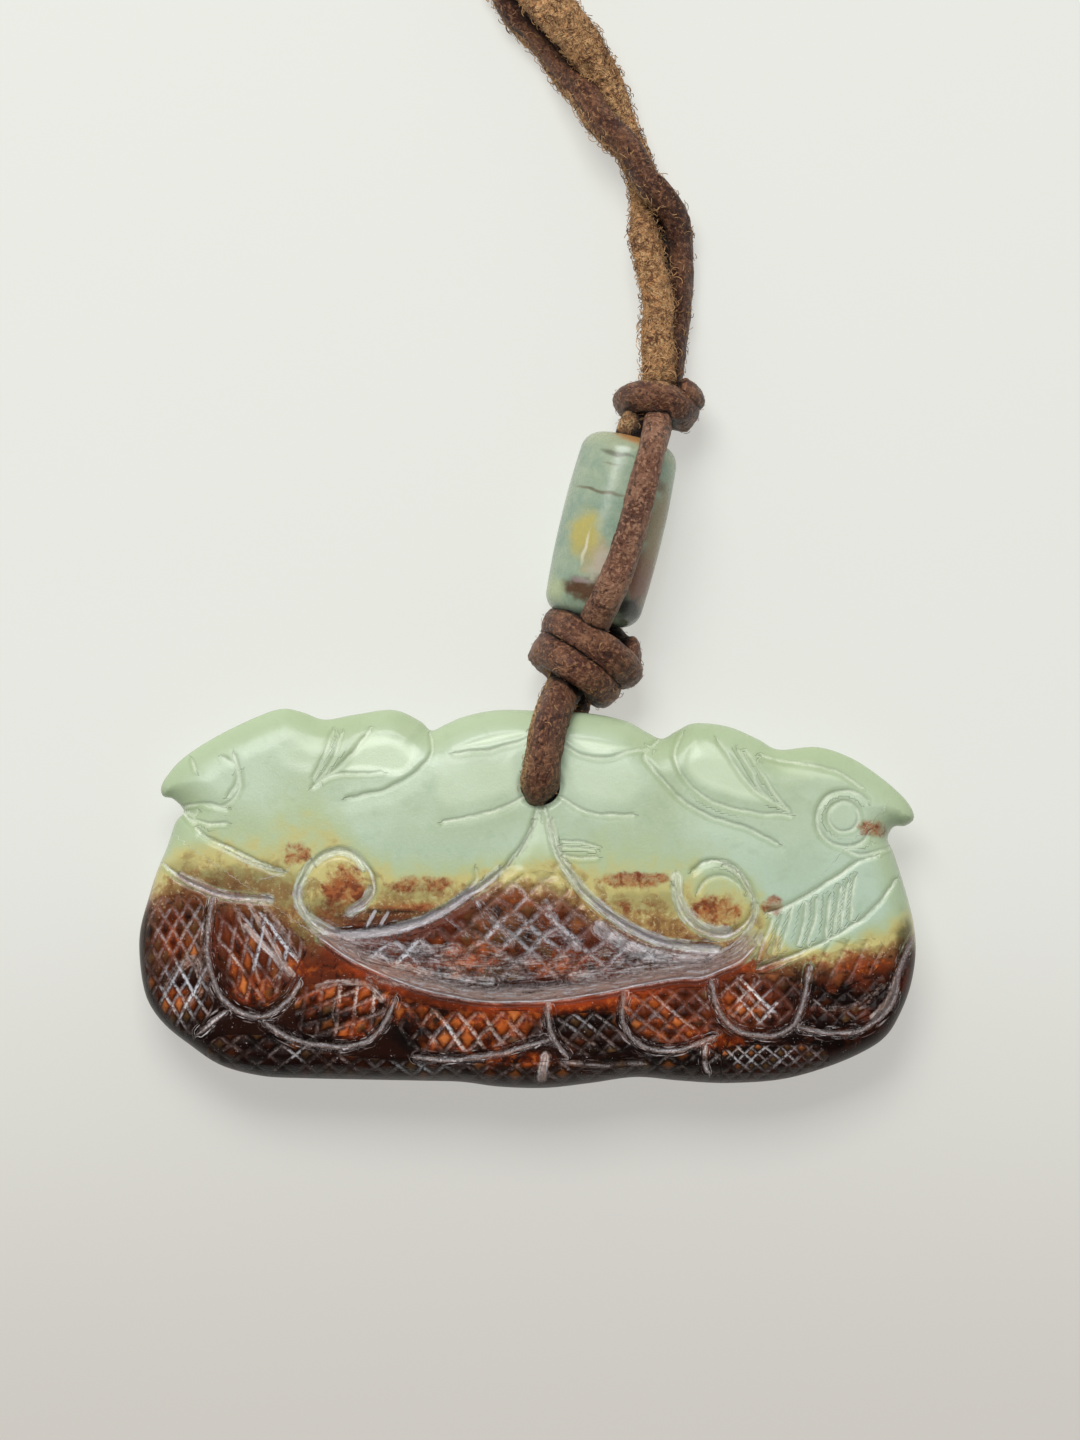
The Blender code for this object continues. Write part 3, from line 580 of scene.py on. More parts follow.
def wrap_route(centre, lengthwise, shift, half_width, half_height, tilt=0.0, start=-30.0, sweep=340.0):
    """A turn of lace round a knot's core: out on one side, over the top and down on the other."""
    along = Vector((*lengthwise, 0.0)).normalized()
    across = Vector((along.y, -along.x, 0.0))
    found = []
    for i in range(WRAP_POINTS + 1):
        turn = math.radians(start + sweep * i / WRAP_POINTS)
        place = Vector(centre) + shift * along + math.cos(turn) * half_width * across
        place += math.sin(turn) * half_height * Vector((0.0, 0.0, 1.0)) + tilt * math.sin(turn + 0.6) * along
        found.append(tuple(place))
    return found


def wrap(centre, lengthwise, shift, half_width, half_height, width, thick, seed, **more):
    route = wrap_route(centre, lengthwise, shift, half_width, half_height, **more)
    return lace_arrays(route, width, thick, seed=seed, lumps=0.2, upright=False, tip=0.8)


end_centre = (END_KNOT[0], END_KNOT[1], 3.1)
end_parts = [
    wrap(end_centre, (1.0, 0.0), -0.95, 1.7, 1.6, 2.7, 2.4, 21.0, tilt=0.3),
    wrap(end_centre, (1.0, 0.0), 0.95, 1.8, 1.7, 2.7, 2.4, 24.0, tilt=0.3),
    lace_arrays([(18.0, 102.6, 1.9), (14.6, 102.8, 2.2), (12.0, 102.9, 2.0), (10.2, 103.4, 1.5)], 2.6, 2.2,
                seed=27.0),
    lace_arrays([(18.0, 102.6, 4.4), (14.6, 102.8, 4.0), (12.0, 102.4, 3.8), (10.3, 101.6, 3.3)], 2.5, 2.1,
                seed=29.0),
]
end_knot = lace_object("end_knot_wraps", end_parts, dark_leather)
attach(end_knot, "root")
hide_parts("end_knot")

TIE_CENTRE_Y = 123.8
TIE_HALF_REACH = 5.75
TIE_HALF_HEIGHT = 3.35
TIE_MIDDLE = 3.65
TIE_POINTS = 22
TIE_SWEEP = 380.0
TIE_LAPS_FROM = 20
TIE_LAP_RISE = 0.25
TIE_SQUARENESS = 0.45


def tie_route():
    """Once round the coil's section and a little more, so that the strip's ends lie on each other."""
    found = []
    for i in range(TIE_POINTS + 1):
        turn = math.radians(100.0 + TIE_SWEEP * i / TIE_POINTS)
        rise = 0.0 if i < TIE_LAPS_FROM else TIE_LAP_RISE
        sideways = 0.16 * (i / TIE_POINTS - 0.5)
        corner_y = math.copysign(abs(math.cos(turn)) ** TIE_SQUARENESS, math.cos(turn))
        corner_z = math.copysign(abs(math.sin(turn)) ** TIE_SQUARENESS, math.sin(turn))
        found.append((COIL_CENTRE[0] + sideways, TIE_CENTRE_Y + (TIE_HALF_REACH + rise) * corner_y,
                      TIE_MIDDLE + (TIE_HALF_HEIGHT + rise) * corner_z))
    return found


tie_strip = lace_arrays(tie_route(), 2.4, 0.42, roll=90.0, seed=41.0, lumps=0.03, upright=False, tip=0.3)
tie = lace_object("coil_tie_strip", [tie_strip], dark_leather)
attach(tie, "root")
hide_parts("coil_tie")
print("made", end_knot.name, "and", tie.name)

# %% [markdown]
# ## Hairs on the flesh side
# The pale side of the lace is covered with short curled fibres, and the dark side has a few. There are
# far too many to place by hand, and they follow a rule: more where the flesh side shows, each lying
# nearly flat, none like the next. Geometry Nodes scatter one small curled hair over the lace, turn and
# size every copy at random from a fixed seed, and make them real. The result becomes a plain mesh.

# %% The hair nodes
HAIR_INPUTS = {"Density": "Float", "Length": "Float", "Thickness": "Float", "Seed": "Int",
               "Finish": "Material"}
HAIR_BOW = math.radians(125.0)
HAIR_LEAN = (0.8, 0.8, math.pi)
HAIR_SIZES = (0.45, 1.35)


def make_hair_nodes():
    tree = bpy.data.node_groups.new("curled fibres", "GeometryNodeTree")
    tree.interface.new_socket("Geometry", in_out="INPUT", socket_type="NodeSocketGeometry")
    for label, kind in HAIR_INPUTS.items():
        tree.interface.new_socket(label, in_out="INPUT", socket_type="NodeSocket" + kind)
    tree.interface.new_socket("Geometry", in_out="OUTPUT", socket_type="NodeSocketGeometry")
    w = Wiring(tree)
    given = w.node("NodeGroupInput").outputs
    hairy = w.node("GeometryNodeInputNamedAttribute", {"data_type": "FLOAT"}, Name="hairy")
    density = w.times(given["Density"], hairy.outputs["Attribute"])
    scatter = w.node("GeometryNodeDistributePointsOnFaces", {"distribute_method": "RANDOM"},
                     Mesh=given["Geometry"], Density=density, Seed=given["Seed"]).outputs
    bow = w.node("GeometryNodeCurveArc", {"mode": "RADIUS"}, Resolution=6, Sweep_Angle=HAIR_BOW,
                 Radius=w.times(given["Length"], 0.45))
    wire = w.node("GeometryNodeCurvePrimitiveCircle", {"mode": "RADIUS"}, Resolution=3,
                  Radius=given["Thickness"])
    hair = w.node("GeometryNodeCurveToMesh", Curve=bow.outputs["Curve"], Profile_Curve=wire.outputs["Curve"],
                  Fill_Caps=True)
    lean = w.node("FunctionNodeRandomValue", {"data_type": "FLOAT_VECTOR"}, Seed=7)
    w.plug(lean.inputs[0], tuple(-turn for turn in HAIR_LEAN))
    w.plug(lean.inputs[1], HAIR_LEAN)
    turned = w.node("FunctionNodeRotateRotation", {"rotation_space": "LOCAL"}, Rotation=scatter["Rotation"],
                    Rotate_By=lean.outputs[0])
    sizes = w.node("FunctionNodeRandomValue", {"data_type": "FLOAT"}, Seed=5)
    w.plug(sizes.inputs[2], HAIR_SIZES[0])
    w.plug(sizes.inputs[3], HAIR_SIZES[1])
    placed = w.node("GeometryNodeInstanceOnPoints", Points=scatter["Points"], Instance=hair.outputs["Mesh"],
                    Rotation=turned.outputs["Rotation"], Scale=sizes.outputs[1])
    real = w.node("GeometryNodeRealizeInstances", Geometry=placed.outputs["Instances"])
    finished = w.node("GeometryNodeSetMaterial", Geometry=real.outputs["Geometry"], Material=given["Finish"])
    w.node("NodeGroupOutput", Geometry=finished.outputs["Geometry"])
    return tree


def make_hair_finish():
    made, w, shader = new_material("hide fibres")
    patches = w.noise(w.place(), 900.0, 2.0, 0.6)
    colour = w.mix(w.ramp(patches, 0.35, 0.68), srgb(98, 62, 40), srgb(214, 168, 116))
    w.wire(shader, Base_Color=colour, Roughness=w.linear(patches, 0.3, 0.6))
    return made


hair_nodes = make_hair_nodes()
hair_finish = make_hair_finish()


def grow_hairs(name, skin, hairy, density, length, thickness, seed):
    """A mesh of hairs on an object, as dense as its hairy values say, with sizes in metres."""
    bed = add_object("bed of hairs", skin.data.copy())
    keep_values(bed.data, "hairy", hairy)
    grown = bed.modifiers.new("hairs", "NODES")
    grown.node_group = hair_nodes
    settings = dict(zip(HAIR_INPUTS, (density, length, thickness, seed, hair_finish)))
    for socket in hair_nodes.interface.items_tree:
        if socket.in_out == "INPUT" and socket.name in settings:
            grown[socket.identifier] = settings[socket.name]
    evaluated = bed.evaluated_get(bpy.context.evaluated_depsgraph_get())
    mesh = bpy.data.meshes.new_from_object(evaluated)
    mesh.name = name
    bpy.data.objects.remove(bed)
    print(f"{name}: {len(mesh.polygons)} faces")
    return add_object(name, mesh)

# %% Hair on the strands
HAIRS_FADE_OVER = 6.0


def hairiness(arrays, near, far, full_until):
    """Hairs by the flesh side and by how far along the lace a point is: near, up to a length, then far."""
    _, _, flesh, _, line = arrays
    count = len(line)
    lengthwise = np.append(np.repeat(np.arange(count), LACE_SIDES), [0, count - 1]) * STRAND_STEP
    side = 0.25 + 0.75 * np.clip(flesh, 0.0, 1.0)
    share = 1.0 - smoothstep(full_until, full_until + HAIRS_FADE_OVER, lengthwise)
    return side * (far + (near - far) * share)


left_hairs = grow_hairs(
    "strand_left_hairs", strand_left, hairiness(left_arrays, 1.0, 0.02, 40.0),
    density=15.0e6, length=0.001, thickness=0.00003, seed=3)
right_hairs = grow_hairs(
    "strand_right_hairs", strand_right, hairiness(right_arrays, 0.8, 0.02, 40.0),
    density=12.0e6, length=0.0009, thickness=0.000028, seed=8)

# %% [markdown]
# ## The loop and the knots below and above the bead
# The thong is folded in half and its fold goes through the stone. Both legs come together into the lower
# knot, whose two wraps lie side by side across the front. One leg then goes through the bead's bore and
# the other over the bead's front, and the upper knot catches them again. One lace could follow both knots
# all the way, but most of it would never be seen. So each visible run is its own stretch of lace, tucked
# under its neighbours where the real one disappears.

# %% Loop and knots
LOWER_CENTRE = (4.7, 20.1, 4.1)
LOWER_ALONG = (0.6, 0.8)
UPPER_CENTRE = (10.9, 41.5, 3.9)
UPPER_ALONG = (0.35, 0.937)
FRONT_LEG = [
    (1.15, 9.2, 3), (1.1, 9, 5.4), (1.08, 8.95, 7.4), (1.05, 9.1, 8.5), (1.05, 9.7, 9.25),
    (1.2, 10.9, 9.65), (1.45, 12.4, 9.7), (1.75, 14, 9.45), (2.1, 15.3, 8.7), (2.55, 16.5, 7.2),
    (3.1, 17.7, 5.7), (3.9, 19.2, 4.7),
]
BACK_LEG = [
    (1.15, 9.2, 4.6), (1.2, 9.4, 3), (1.3, 10.3, 1.75), (1.8, 11.8, 1.45), (2.9, 13.8, 1.45),
    (3.8, 16, 1.5), (4.2, 17.8, 1.8), (4.4, 19.6, 2.8),
]
BORE_STRAND = [
    (4.9, 20.6, 4.2), (5.2, 23.4, 4.35), (5.8, 25.9, 4.4), (7, 30.9, 4.4), (8.1, 35.6, 4.4), (8.5, 38, 4.9),
    (9.1, 39.8, 4.9), (10, 41.2, 4.2),
]
OUTER_STRAND = [
    (4.6, 19.8, 4.6), (5, 21.2, 5.3), (5.5, 22.6, 6.6), (6.1, 23.9, 8.5), (6.9, 25.5, 9.7),
    (7.8, 27.7, 10.1), (8.7, 30.6, 10.1), (9.4, 33.4, 10.05), (10.1, 36.2, 9.8), (10.5, 37.9, 8.9),
    (10.75, 39.2, 7), (10.9, 40.4, 5.2), (11, 41.6, 4.4),
]
loop_parts = [
    lace_arrays(FRONT_LEG, [(0.0, 3.0), (0.4, 3.15), (0.6, 2.9), (1.0, 2.8)], 2.7, seed=51.0, lumps=0.2,
                upright=False, roll=8.0),
    lace_arrays(BACK_LEG, 2.8, 2.5, step=0.4, seed=55.0, lumps=0.1, upright=False),
    lace_arrays(BORE_STRAND, 2.7, 2.5, step=0.4, seed=57.0, lumps=0.1, roll=180.0),
]
outer_parts = [
    lace_arrays(OUTER_STRAND, [(0.0, 2.6), (0.3, 2.7), (0.6, 2.4), (0.8, 2.3), (1.0, 2.4)],
                [(0.0, 2.5), (0.5, 2.75), (1.0, 2.6)], seed=59.0, lumps=0.14),
]
lower_parts = [
    wrap(LOWER_CENTRE, LOWER_ALONG, -1.3, 2.85, 3.35, 2.9, 2.6, 61.0, tilt=0.25),
    wrap(LOWER_CENTRE, LOWER_ALONG, 1.05, 3.45, 3.45, 2.9, 2.6, 67.0, tilt=0.25),
    wrap(LOWER_CENTRE, LOWER_ALONG, 2.6, 2.7, 2.0, 2.5, 2.2, 71.0, start=-120.0, sweep=160.0),
]
upper_parts = [
    wrap(UPPER_CENTRE, UPPER_ALONG, -0.35, 2.3, 2.9, 2.6, 2.4, 73.0, tilt=0.55),
    wrap(UPPER_CENTRE, UPPER_ALONG, 1.5, 2.4, 2.2, 2.4, 2.2, 79.0, start=-110.0, sweep=170.0),
]
knotted_thong = lace_object("knotted_thong", loop_parts + lower_parts + upper_parts, dark_leather)
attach(knotted_thong, "root")
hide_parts("thong_loop_and_knots")
outer_strand = lace_object("thong_over_bead", outer_parts, worn_leather)
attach(outer_strand, "root")
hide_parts("thong_loop_and_knots")
print("knotted stretch:", len(knotted_thong.data.polygons) + len(outer_strand.data.polygons), "faces")

# %% Hair on the knotted stretch
def flat_hairiness(stretches, amount):
    """An even, sparse growth, with more of it on flesh and edges."""
    return np.concatenate([amount * (0.5 + 0.5 * np.clip(part[2], 0.0, 1.0)) for part in stretches])


loop_hairs = grow_hairs(
    "knotted_thong_hairs", knotted_thong, flat_hairiness(loop_parts + lower_parts + upper_parts, 0.4),
    density=7.0e6, length=0.0006, thickness=0.000022, seed=12)
for hairs in (left_hairs, right_hairs, loop_hairs):
    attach(hairs, "root")

# %% [markdown]
# ## The bead
# The bead is a barrel of the same kind of stone, drilled along its axis and polished. A turner would cut
# its profile on a lathe, and that is how it is made here: a profile goes round an axis, the corners are
# well rounded, and a very slight wave keeps it from looking machined. It stays on the solid's place,
# leaning with the thong.

# %% Barrel bead
BEAD_CENTRE = Vector((7.0, 30.9, 4.4))
BEAD_LEAN = math.radians(13.5)
BEAD_LENGTH = 15.6
BEAD_RADIUS = 4.32
BEAD_END_RADIUS = 4.1
BEAD_CORNER = 1.7
BEAD_BORE = 1.75
BEAD_SIDES = 96
BEAD_WAVES = 0.006
CORNER_STEPS = 10
SIDE_STEPS = 20


def bead_profile():
    """Radius and height pairs, from the bore's lower end round the outside to its upper end."""
    half = 0.5 * BEAD_LENGTH
    found = [(BEAD_BORE, -half + 1.0), (BEAD_BORE, -half + 0.25), (BEAD_BORE + 0.25, -half)]
    for i in range(CORNER_STEPS + 1):
        turn = 0.5 * math.pi * i / CORNER_STEPS
        found.append((BEAD_END_RADIUS - BEAD_CORNER * (1.0 - math.sin(turn)),
                      -half + BEAD_CORNER * (1.0 - math.cos(turn))))
    low_end = list(found)
    corner = low_end[-1][1]
    for i in range(1, SIDE_STEPS):
        height = corner * (1.0 - 2.0 * i / SIDE_STEPS)
        bulge = 1.0 - (height / corner) ** 2
        found.append((BEAD_END_RADIUS + (BEAD_RADIUS - BEAD_END_RADIUS) * bulge, height))
    return found + [(radius, -height) for radius, height in reversed(low_end)]


def make_bead():
    profile = bead_profile()
    count = len(profile)
    points = []
    for radius, height in profile:
        for k in range(BEAD_SIDES):
            turn = 2.0 * math.pi * k / BEAD_SIDES
            east, up = math.cos(turn), math.sin(turn)
            wavy = radius * (1.0 + BEAD_WAVES * noise.noise((2.0 * east, 2.0 * up, 0.25 * height)))
            points.append((wavy * east, height, -wavy * up))
    faces = []
    for i in range(count):
        a, b = i * BEAD_SIDES, ((i + 1) % count) * BEAD_SIDES
        for k in range(BEAD_SIDES):
            m = (k + 1) % BEAD_SIDES
            faces.append((a + k, a + m, b + m, b + k))
    points = np.array(points)
    lean = np.array([[math.cos(BEAD_LEAN), math.sin(BEAD_LEAN), 0.0],
                     [-math.sin(BEAD_LEAN), math.cos(BEAD_LEAN), 0.0], [0.0, 0.0, 1.0]])
    mesh = bpy.data.meshes.new("barrel_bead")
    mesh.from_pydata(((points @ lean.T + np.array(BEAD_CENTRE)) * MM).tolist(), [], faces)
    mesh.shade_smooth()
    for name, values in zip(("round", "along", "height"), points.T):
        keep_values(mesh, name, values)
    return add_object("barrel_bead", mesh)


bead = make_bead()
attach(bead, "root")
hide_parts("jade_bead")
print("bead:", len(bead.data.polygons), "faces")

# %% [markdown]
# ## The bead's finish
# The bead is grey green, with a yellow fleck, rust and brown at its lower end and some dark flaws. They
# could be painted on a picture, but a few soft patches say the same: each has a place, a size and a tint,
# and noise bends its border. They are placed by the bead's own three measures, which lean with it. Two pale
# patches near the lower end, a green one on the upper left and a thin lilac one on top, are painted
# highlights.

# %% The bead's finish
PATCH_SOFTNESS = 0.5
MID_GREY = (0.5, 0.5, 0.5)
# Patches on the bead: centre and half sizes across, along and up, tint, strength, how far the swirl bends it
BEAD_PATCHES = [
    ((0.0, 7.6, 1.0), (4.6, 1.5, 5.0), srgb(160, 158, 118), 0.5, 2.0),
    ((-2.0, -1.3, 3.2), (1.3, 1.8, 2.6), srgb(190, 176, 96), 0.9, 2.4),
    ((-0.6, -3.0, 3.6), (1.0, 1.5, 2.6), srgb(178, 160, 110), 0.75, 2.4),
    ((0.2, -3.6, 4.0), (1.2, 1.5, 2.0), srgb(190, 178, 164), 0.75, 2.0),
    ((-0.9, -5.8, 3.4), (2.0, 0.8, 2.6), srgb(84, 52, 26), 0.97, 2.2),
    ((0.9, -5.2, 3.6), (1.2, 0.9, 2.0), srgb(86, 60, 46), 0.9, 1.8),
    ((3.4, -3.6, 2.2), (1.4, 2.6, 3.0), srgb(126, 82, 64), 0.95, 2.2),
    ((2.8, -6.4, 2.4), (1.9, 1.0, 3.2), srgb(34, 28, 25), 0.97, 1.8),
    ((3.7, 1.0, 2.2), (1.1, 3.4, 2.8), srgb(140, 116, 78), 0.85, 2.4),
    ((3.0, 4.2, 3.0), (0.7, 0.5, 2.2), srgb(104, 84, 54), 0.7, 1.6),
    ((0.2, 7.6, 2.6), (1.7, 0.5, 3.0), srgb(176, 116, 58), 0.8, 1.2),
    # painted highlight: a pale green patch on the upper left, near the lower end
    ((-3.6, -6.2, 1.8), (1.2, 1.0, 2.4), srgb(176, 186, 144), 0.85, 1.4),
    ((-0.9, 5.9, 3.6), (1.3, 0.2, 1.6), srgb(84, 80, 60), 0.7, 0.9),
    ((-1.7, 2.6, 3.4), (2.3, 0.15, 2.2), srgb(104, 88, 60), 0.75, 0.8),
    ((-1.2, 4.9, 3.8), (0.7, 0.12, 1.6), srgb(112, 102, 76), 0.45, 0.9),
    ((-1.7, -2.3, 3.6), (0.14, 1.3, 1.6), srgb(222, 216, 190), 0.75, 0.9),
    # painted highlight: a thin lilac line on top, near the lower end
    ((-1.5, -5.0, 3.9), (0.7, 0.22, 1.2), srgb(160, 140, 142), 0.6, 0.9),
    ((1.0, -2.0, -3.4), (2.6, 3.6, 1.8), srgb(150, 120, 78), 0.6, 2.4),
    ((-2.4, 3.0, -3.0), (1.6, 2.4, 1.8), srgb(120, 104, 70), 0.5, 2.4),
]


def patch(w, place, centre, size):
    """A soft round patch on a surface: 1 in its middle and 0 outside."""
    moved = w.node("ShaderNodeMapping", {"vector_type": "TEXTURE"}, Vector=place, Location=centre,
                   Scale=size).outputs["Vector"]
    reach = w.vector_math("LENGTH", moved)["Value"]
    return w.ramp(reach, 1.0 + PATCH_SOFTNESS, 1.0 - PATCH_SOFTNESS)


def make_bead_finish():
    made, w, shader = new_material("bead jade")
    place = w.point(w.field("round"), w.field("along"), w.field("height"))
    soft = w.noise(place, 0.35, 3.0, 0.5, 0.6)
    fine = w.noise(place, 1.6, 4.0, 0.6, 0.5)
    swirl = w.vector_math("SUBTRACT", w.noise(place, 0.8, 5.0, 0.5, output="Color"), MID_GREY)[0]
    drift = w.vector_math("SUBTRACT", w.noise(place, 0.55, 1.0, 0.5, output="Color"), MID_GREY)[0]
    colour = w.mix(w.ramp(soft, 0.3, 0.7), srgb(138, 160, 140), srgb(164, 178, 152))
    colour = w.lay(colour, (w.ramp(fine, 0.5, 0.75), 0.3, srgb(188, 196, 174)))
    for centre, size, tint, amount, bend in BEAD_PATCHES:
        bent = w.vector_math("MULTIPLY_ADD", swirl if bend > 1.0 else drift, (bend, bend, bend), place)[0]
        colour = w.lay(colour, (patch(w, bent, centre, size), amount, tint))
    w.wire(shader, Base_Color=colour, Roughness=w.linear(fine, 0.15, 0.2), IOR=1.6,
           Normal=w.bump(fine, 0.25, 0.00004), Subsurface_Weight=0.25,
           Subsurface_Radius=(0.0012, 0.0014, 0.001), Subsurface_Scale=1.0)
    return made


bead.data.materials.append(make_bead_finish())
print("bead finished with", len(BEAD_PATCHES), "patches")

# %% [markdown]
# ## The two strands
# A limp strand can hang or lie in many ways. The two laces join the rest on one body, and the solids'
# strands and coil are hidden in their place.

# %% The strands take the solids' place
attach(strand_left, "root")
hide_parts("thong_strand_left", "thong_coil")
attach(strand_right, "root")
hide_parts("thong_strand_right", "thong_coil")

# %% [markdown]
# ## The carving
# The stone is a flat, softly domed piece carved on its face: two bird-like heads at its upper corners, an
# ear beside each, a crescent with a scroll at each end, and scallops filled with cross-hatching below.
# It could be sculpted by hand, but every form on it is a line with a depth and two slopes, as a carver's
# tool leaves it. So the face is a fine net of points over the outline, and each point is lowered by the
# lines that pass near it. The solids have the same outline and main lines, so the two are the same size.

# %% The outline and the carved lines
OUTLINE = [
    (-28.5, 11.8), (-30, 10.2), (-30.5, 9.2), (-30.3, 8.5), (-29.5, 8.3), (-28.6, 7.3), (-29.3, 6.4),
    (-30, 4.4), (-30.9, 2.2), (-31.6, -0.1), (-32.2, -2.4), (-32.3, -4.4), (-32, -7), (-31.4, -8.8),
    (-30.1, -10.5), (-28.1, -12.1), (-25.5, -13.8), (-22.1, -14.7), (-18.5, -14.9), (-14, -15), (-9, -15.1),
    (-5.5, -15.2), (-2.3, -15.6), (1.5, -15.7), (5.2, -15.3), (9, -14.8), (12.7, -15.1), (16.5, -15.3),
    (21, -15), (24.8, -14), (27.9, -12.7), (29.8, -11.4), (31, -9.5), (31.9, -7.1), (32.3, -4.4),
    (32.1, -1.8), (31.3, 1.3), (30.5, 3.8), (30, 5), (30.5, 6), (31.5, 6.1), (32.2, 6.8), (31.5, 8.2),
    (29.5, 10), (26.9, 11.7), (24.1, 12.6), (20.9, 12.4), (19.1, 13.3), (16.7, 14.3), (14, 14.6),
    (12.5, 14), (11.2, 13.3), (10, 13.8), (8.1, 14.8), (5.2, 15.4), (1.5, 15.6), (-2.3, 15.7), (-5.1, 15.2),
    (-6.8, 14.5), (-8, 14), (-9, 14.8), (-11.2, 15.7), (-14.4, 15.3), (-16.9, 14.9), (-18.7, 15.5),
    (-20.3, 15.8), (-22.1, 15.3), (-25.5, 13.7),
]

# Each carved line: its points, its depth, the widths of its slopes on its left and right, its whiteness.
CRESCENT_AND_SCROLLS = [
    ([(-17.1, -3.5), (-14.8, -5.1), (-11.9, -6.5), (-9, -7.6), (-6.5, -8.2), (-3.5, -8.7), (-0.6, -8.7),
      (1.9, -8.6), (6, -8), (9.4, -7.3), (12.3, -6.8), (14.4, -6.7), (16, -6.1), (17.7, -5.3),
      (18.7, -4.3)], 0.75, 1.9, 0.3, 0.25),
    ([(0.8, 7.2), (0.5, 6.2), (0, 4.9), (-1, 3.5), (-2.1, 2.2), (-3.5, 1.1), (-5.3, 0), (-7.2, -1.2),
      (-9.7, -2.2), (-12.9, -2.8), (-15.6, -2.9)], 0.5, 1.3, 0.35, 0.8),
    ([(1.5, 7.2), (1.9, 5.3), (2.3, 3.7), (3.5, 1.8), (5.5, -0.5), (8, -2.3), (10.4, -3.5), (12.8, -4),
      (15.3, -4.1)], 0.5, 0.35, 1.3, 0.8),
    ([(-14.6, -1.2), (-13.3, -0.4), (-12.7, 0.5), (-12.8, 1.6), (-13.5, 2.8), (-14.4, 3.6), (-15.4, 3.9),
      (-16.6, 3.6), (-17.8, 2.8), (-18.5, 1.6), (-18.9, 0.3), (-18.6, -0.9), (-17.9, -1.9), (-16.9, -2.7),
      (-15.6, -3.2)], 0.6, 0.8, 0.35, 1),
    ([(12.1, 0.8), (12.4, -0.3), (12.9, -1.5), (13.8, -2.4), (14.9, -3), (16.1, -3.2), (17.3, -2.8),
      (18.2, -2), (18.7, -0.8), (18.5, 0.5), (17.8, 1.7), (17, 2.5), (15.9, 2.9), (14.6, 2.8), (13.7, 2.2)],
      0.5, 0.7, 0.4, 0.8),
]
SCALES = [
    ([(-26, -0.2), (-26.3, -1.7), (-26.5, -3.4), (-26.4, -5.2), (-26, -6.8), (-25.3, -8.2), (-24.2, -9.2),
      (-23, -9.7), (-21.8, -9.8), (-20.6, -9.2), (-19.5, -8.2), (-18.9, -7.1)], 0.32, 0.45, 0.25, 1),
    ([(-21.6, -10.4), (-20.4, -11.2), (-19.1, -11.8), (-17.1, -12.2), (-15, -12.3), (-13.3, -11.9),
      (-12.2, -11), (-11.5, -9.8), (-11, -8.5)], 0.32, 0.45, 0.25, 1),
    ([(-9.1, -13.2), (-7.2, -13.4), (-5.1, -13.3), (-2.4, -12.9), (-0.3, -12.3), (1.8, -11.8)], 0.28, 0.45,
      0.25, 0.9),
    ([(1.7, -8.7), (1.7, -10.1), (2.2, -11.7), (3.2, -13)], 0.28, 0.4, 0.4, 0.9),
    ([(8, -8), (7.8, -9.6), (8.2, -11.1), (9.3, -12.1), (11, -12.6), (13.1, -12.4), (15.3, -11.6)], 0.28,
      0.45, 0.25, 0.9),
    ([(15.2, -7), (15.5, -8.6), (16.2, -10), (17.4, -11), (19, -11.4), (20.6, -11.3), (21.9, -10.6),
      (22.6, -9.2), (23, -7.6), (23.3, -5.8)], 0.32, 0.45, 0.25, 1),
    ([(22.6, -10.8), (24.2, -11.1), (26, -11.2), (27.7, -10.9), (29, -10), (30, -9), (30.5, -7.8),
      (30.7, -6.3), (31.4, -4.5), (32.2, -3.1)], 0.32, 0.45, 0.25, 0.9),
]
SCALE_SMEAR = 0.18
SCALE_SMEAR_SHARE = 0.66
WING_BARS = [
    ([(-28.7, 7.2), (-26.9, 5.2), (-24.6, 4.1), (-22.3, 2.9), (-20.3, 2.2)], 0.35, 0.3, 0.6, 0.9),
    ([(-30.2, 2.8), (-28.8, 1.7), (-26.9, 0.8), (-24.8, 0.1), (-21.4, -0.2)], 0.35, 0.3, 0.6, 1),
    ([(28.8, 3.4), (27.5, 3), (25.5, 1.6), (23.3, 0.2), (21.4, -0.8), (20, -1.3)], 0.35, 0.3, 0.6, 0.7),
    ([(30.5, 1.4), (29.5, -0.1), (27.9, -1.7), (25.5, -3.2), (23.3, -4.3), (19.3, -5.9)], 0.35, 0.3, 0.6,
      0.7),
]
EARS_AND_CREST = [
    ([(-8, 13.4), (-7.9, 12), (-8.6, 10.9), (-10, 9.8), (-11.9, 8.8), (-14.8, 8.2)], 0.4, 1.6, 0.4, 0.1),
    ([(10.8, 13), (9.7, 11.8), (10.2, 10.9), (11.2, 9.7), (12.3, 8.5), (14, 7.2), (16, 6.4), (18.4, 5.6),
      (20.6, 4.5)], 0.45, 0.4, 1.6, 0.15),
    ([(12.8, 13.5), (12.2, 11.6), (13.5, 9.2), (15.6, 7.8), (18.8, 7), (21.7, 6.8)], 0.3, 0.9, 0.4, 0.1),
    ([(19.5, 11.8), (21.9, 11.2), (24, 10.9), (26, 10.3), (27.7, 9.2)], 0.3, 0.4, 1, 0.2),
    ([(-6, 11.9), (-3, 12.2), (-0.9, 12.8), (0.3, 13.3)], 0.25, 0.4, 1, 0.2),
    ([(2.9, 12.7), (4.4, 11.8), (6.5, 11.5), (8.5, 12.1), (10.2, 12.3)], 0.25, 0.4, 1, 0.2),
    ([(-6.9, 6.2), (-4.3, 6.7), (-1.9, 7.4), (-0.4, 8.2)], 0.25, 0.4, 0.7, 0.5),
    ([(2.8, 8.3), (4.5, 7.2), (6.5, 6.8), (8.7, 6.8)], 0.25, 0.4, 0.7, 0.4),
]
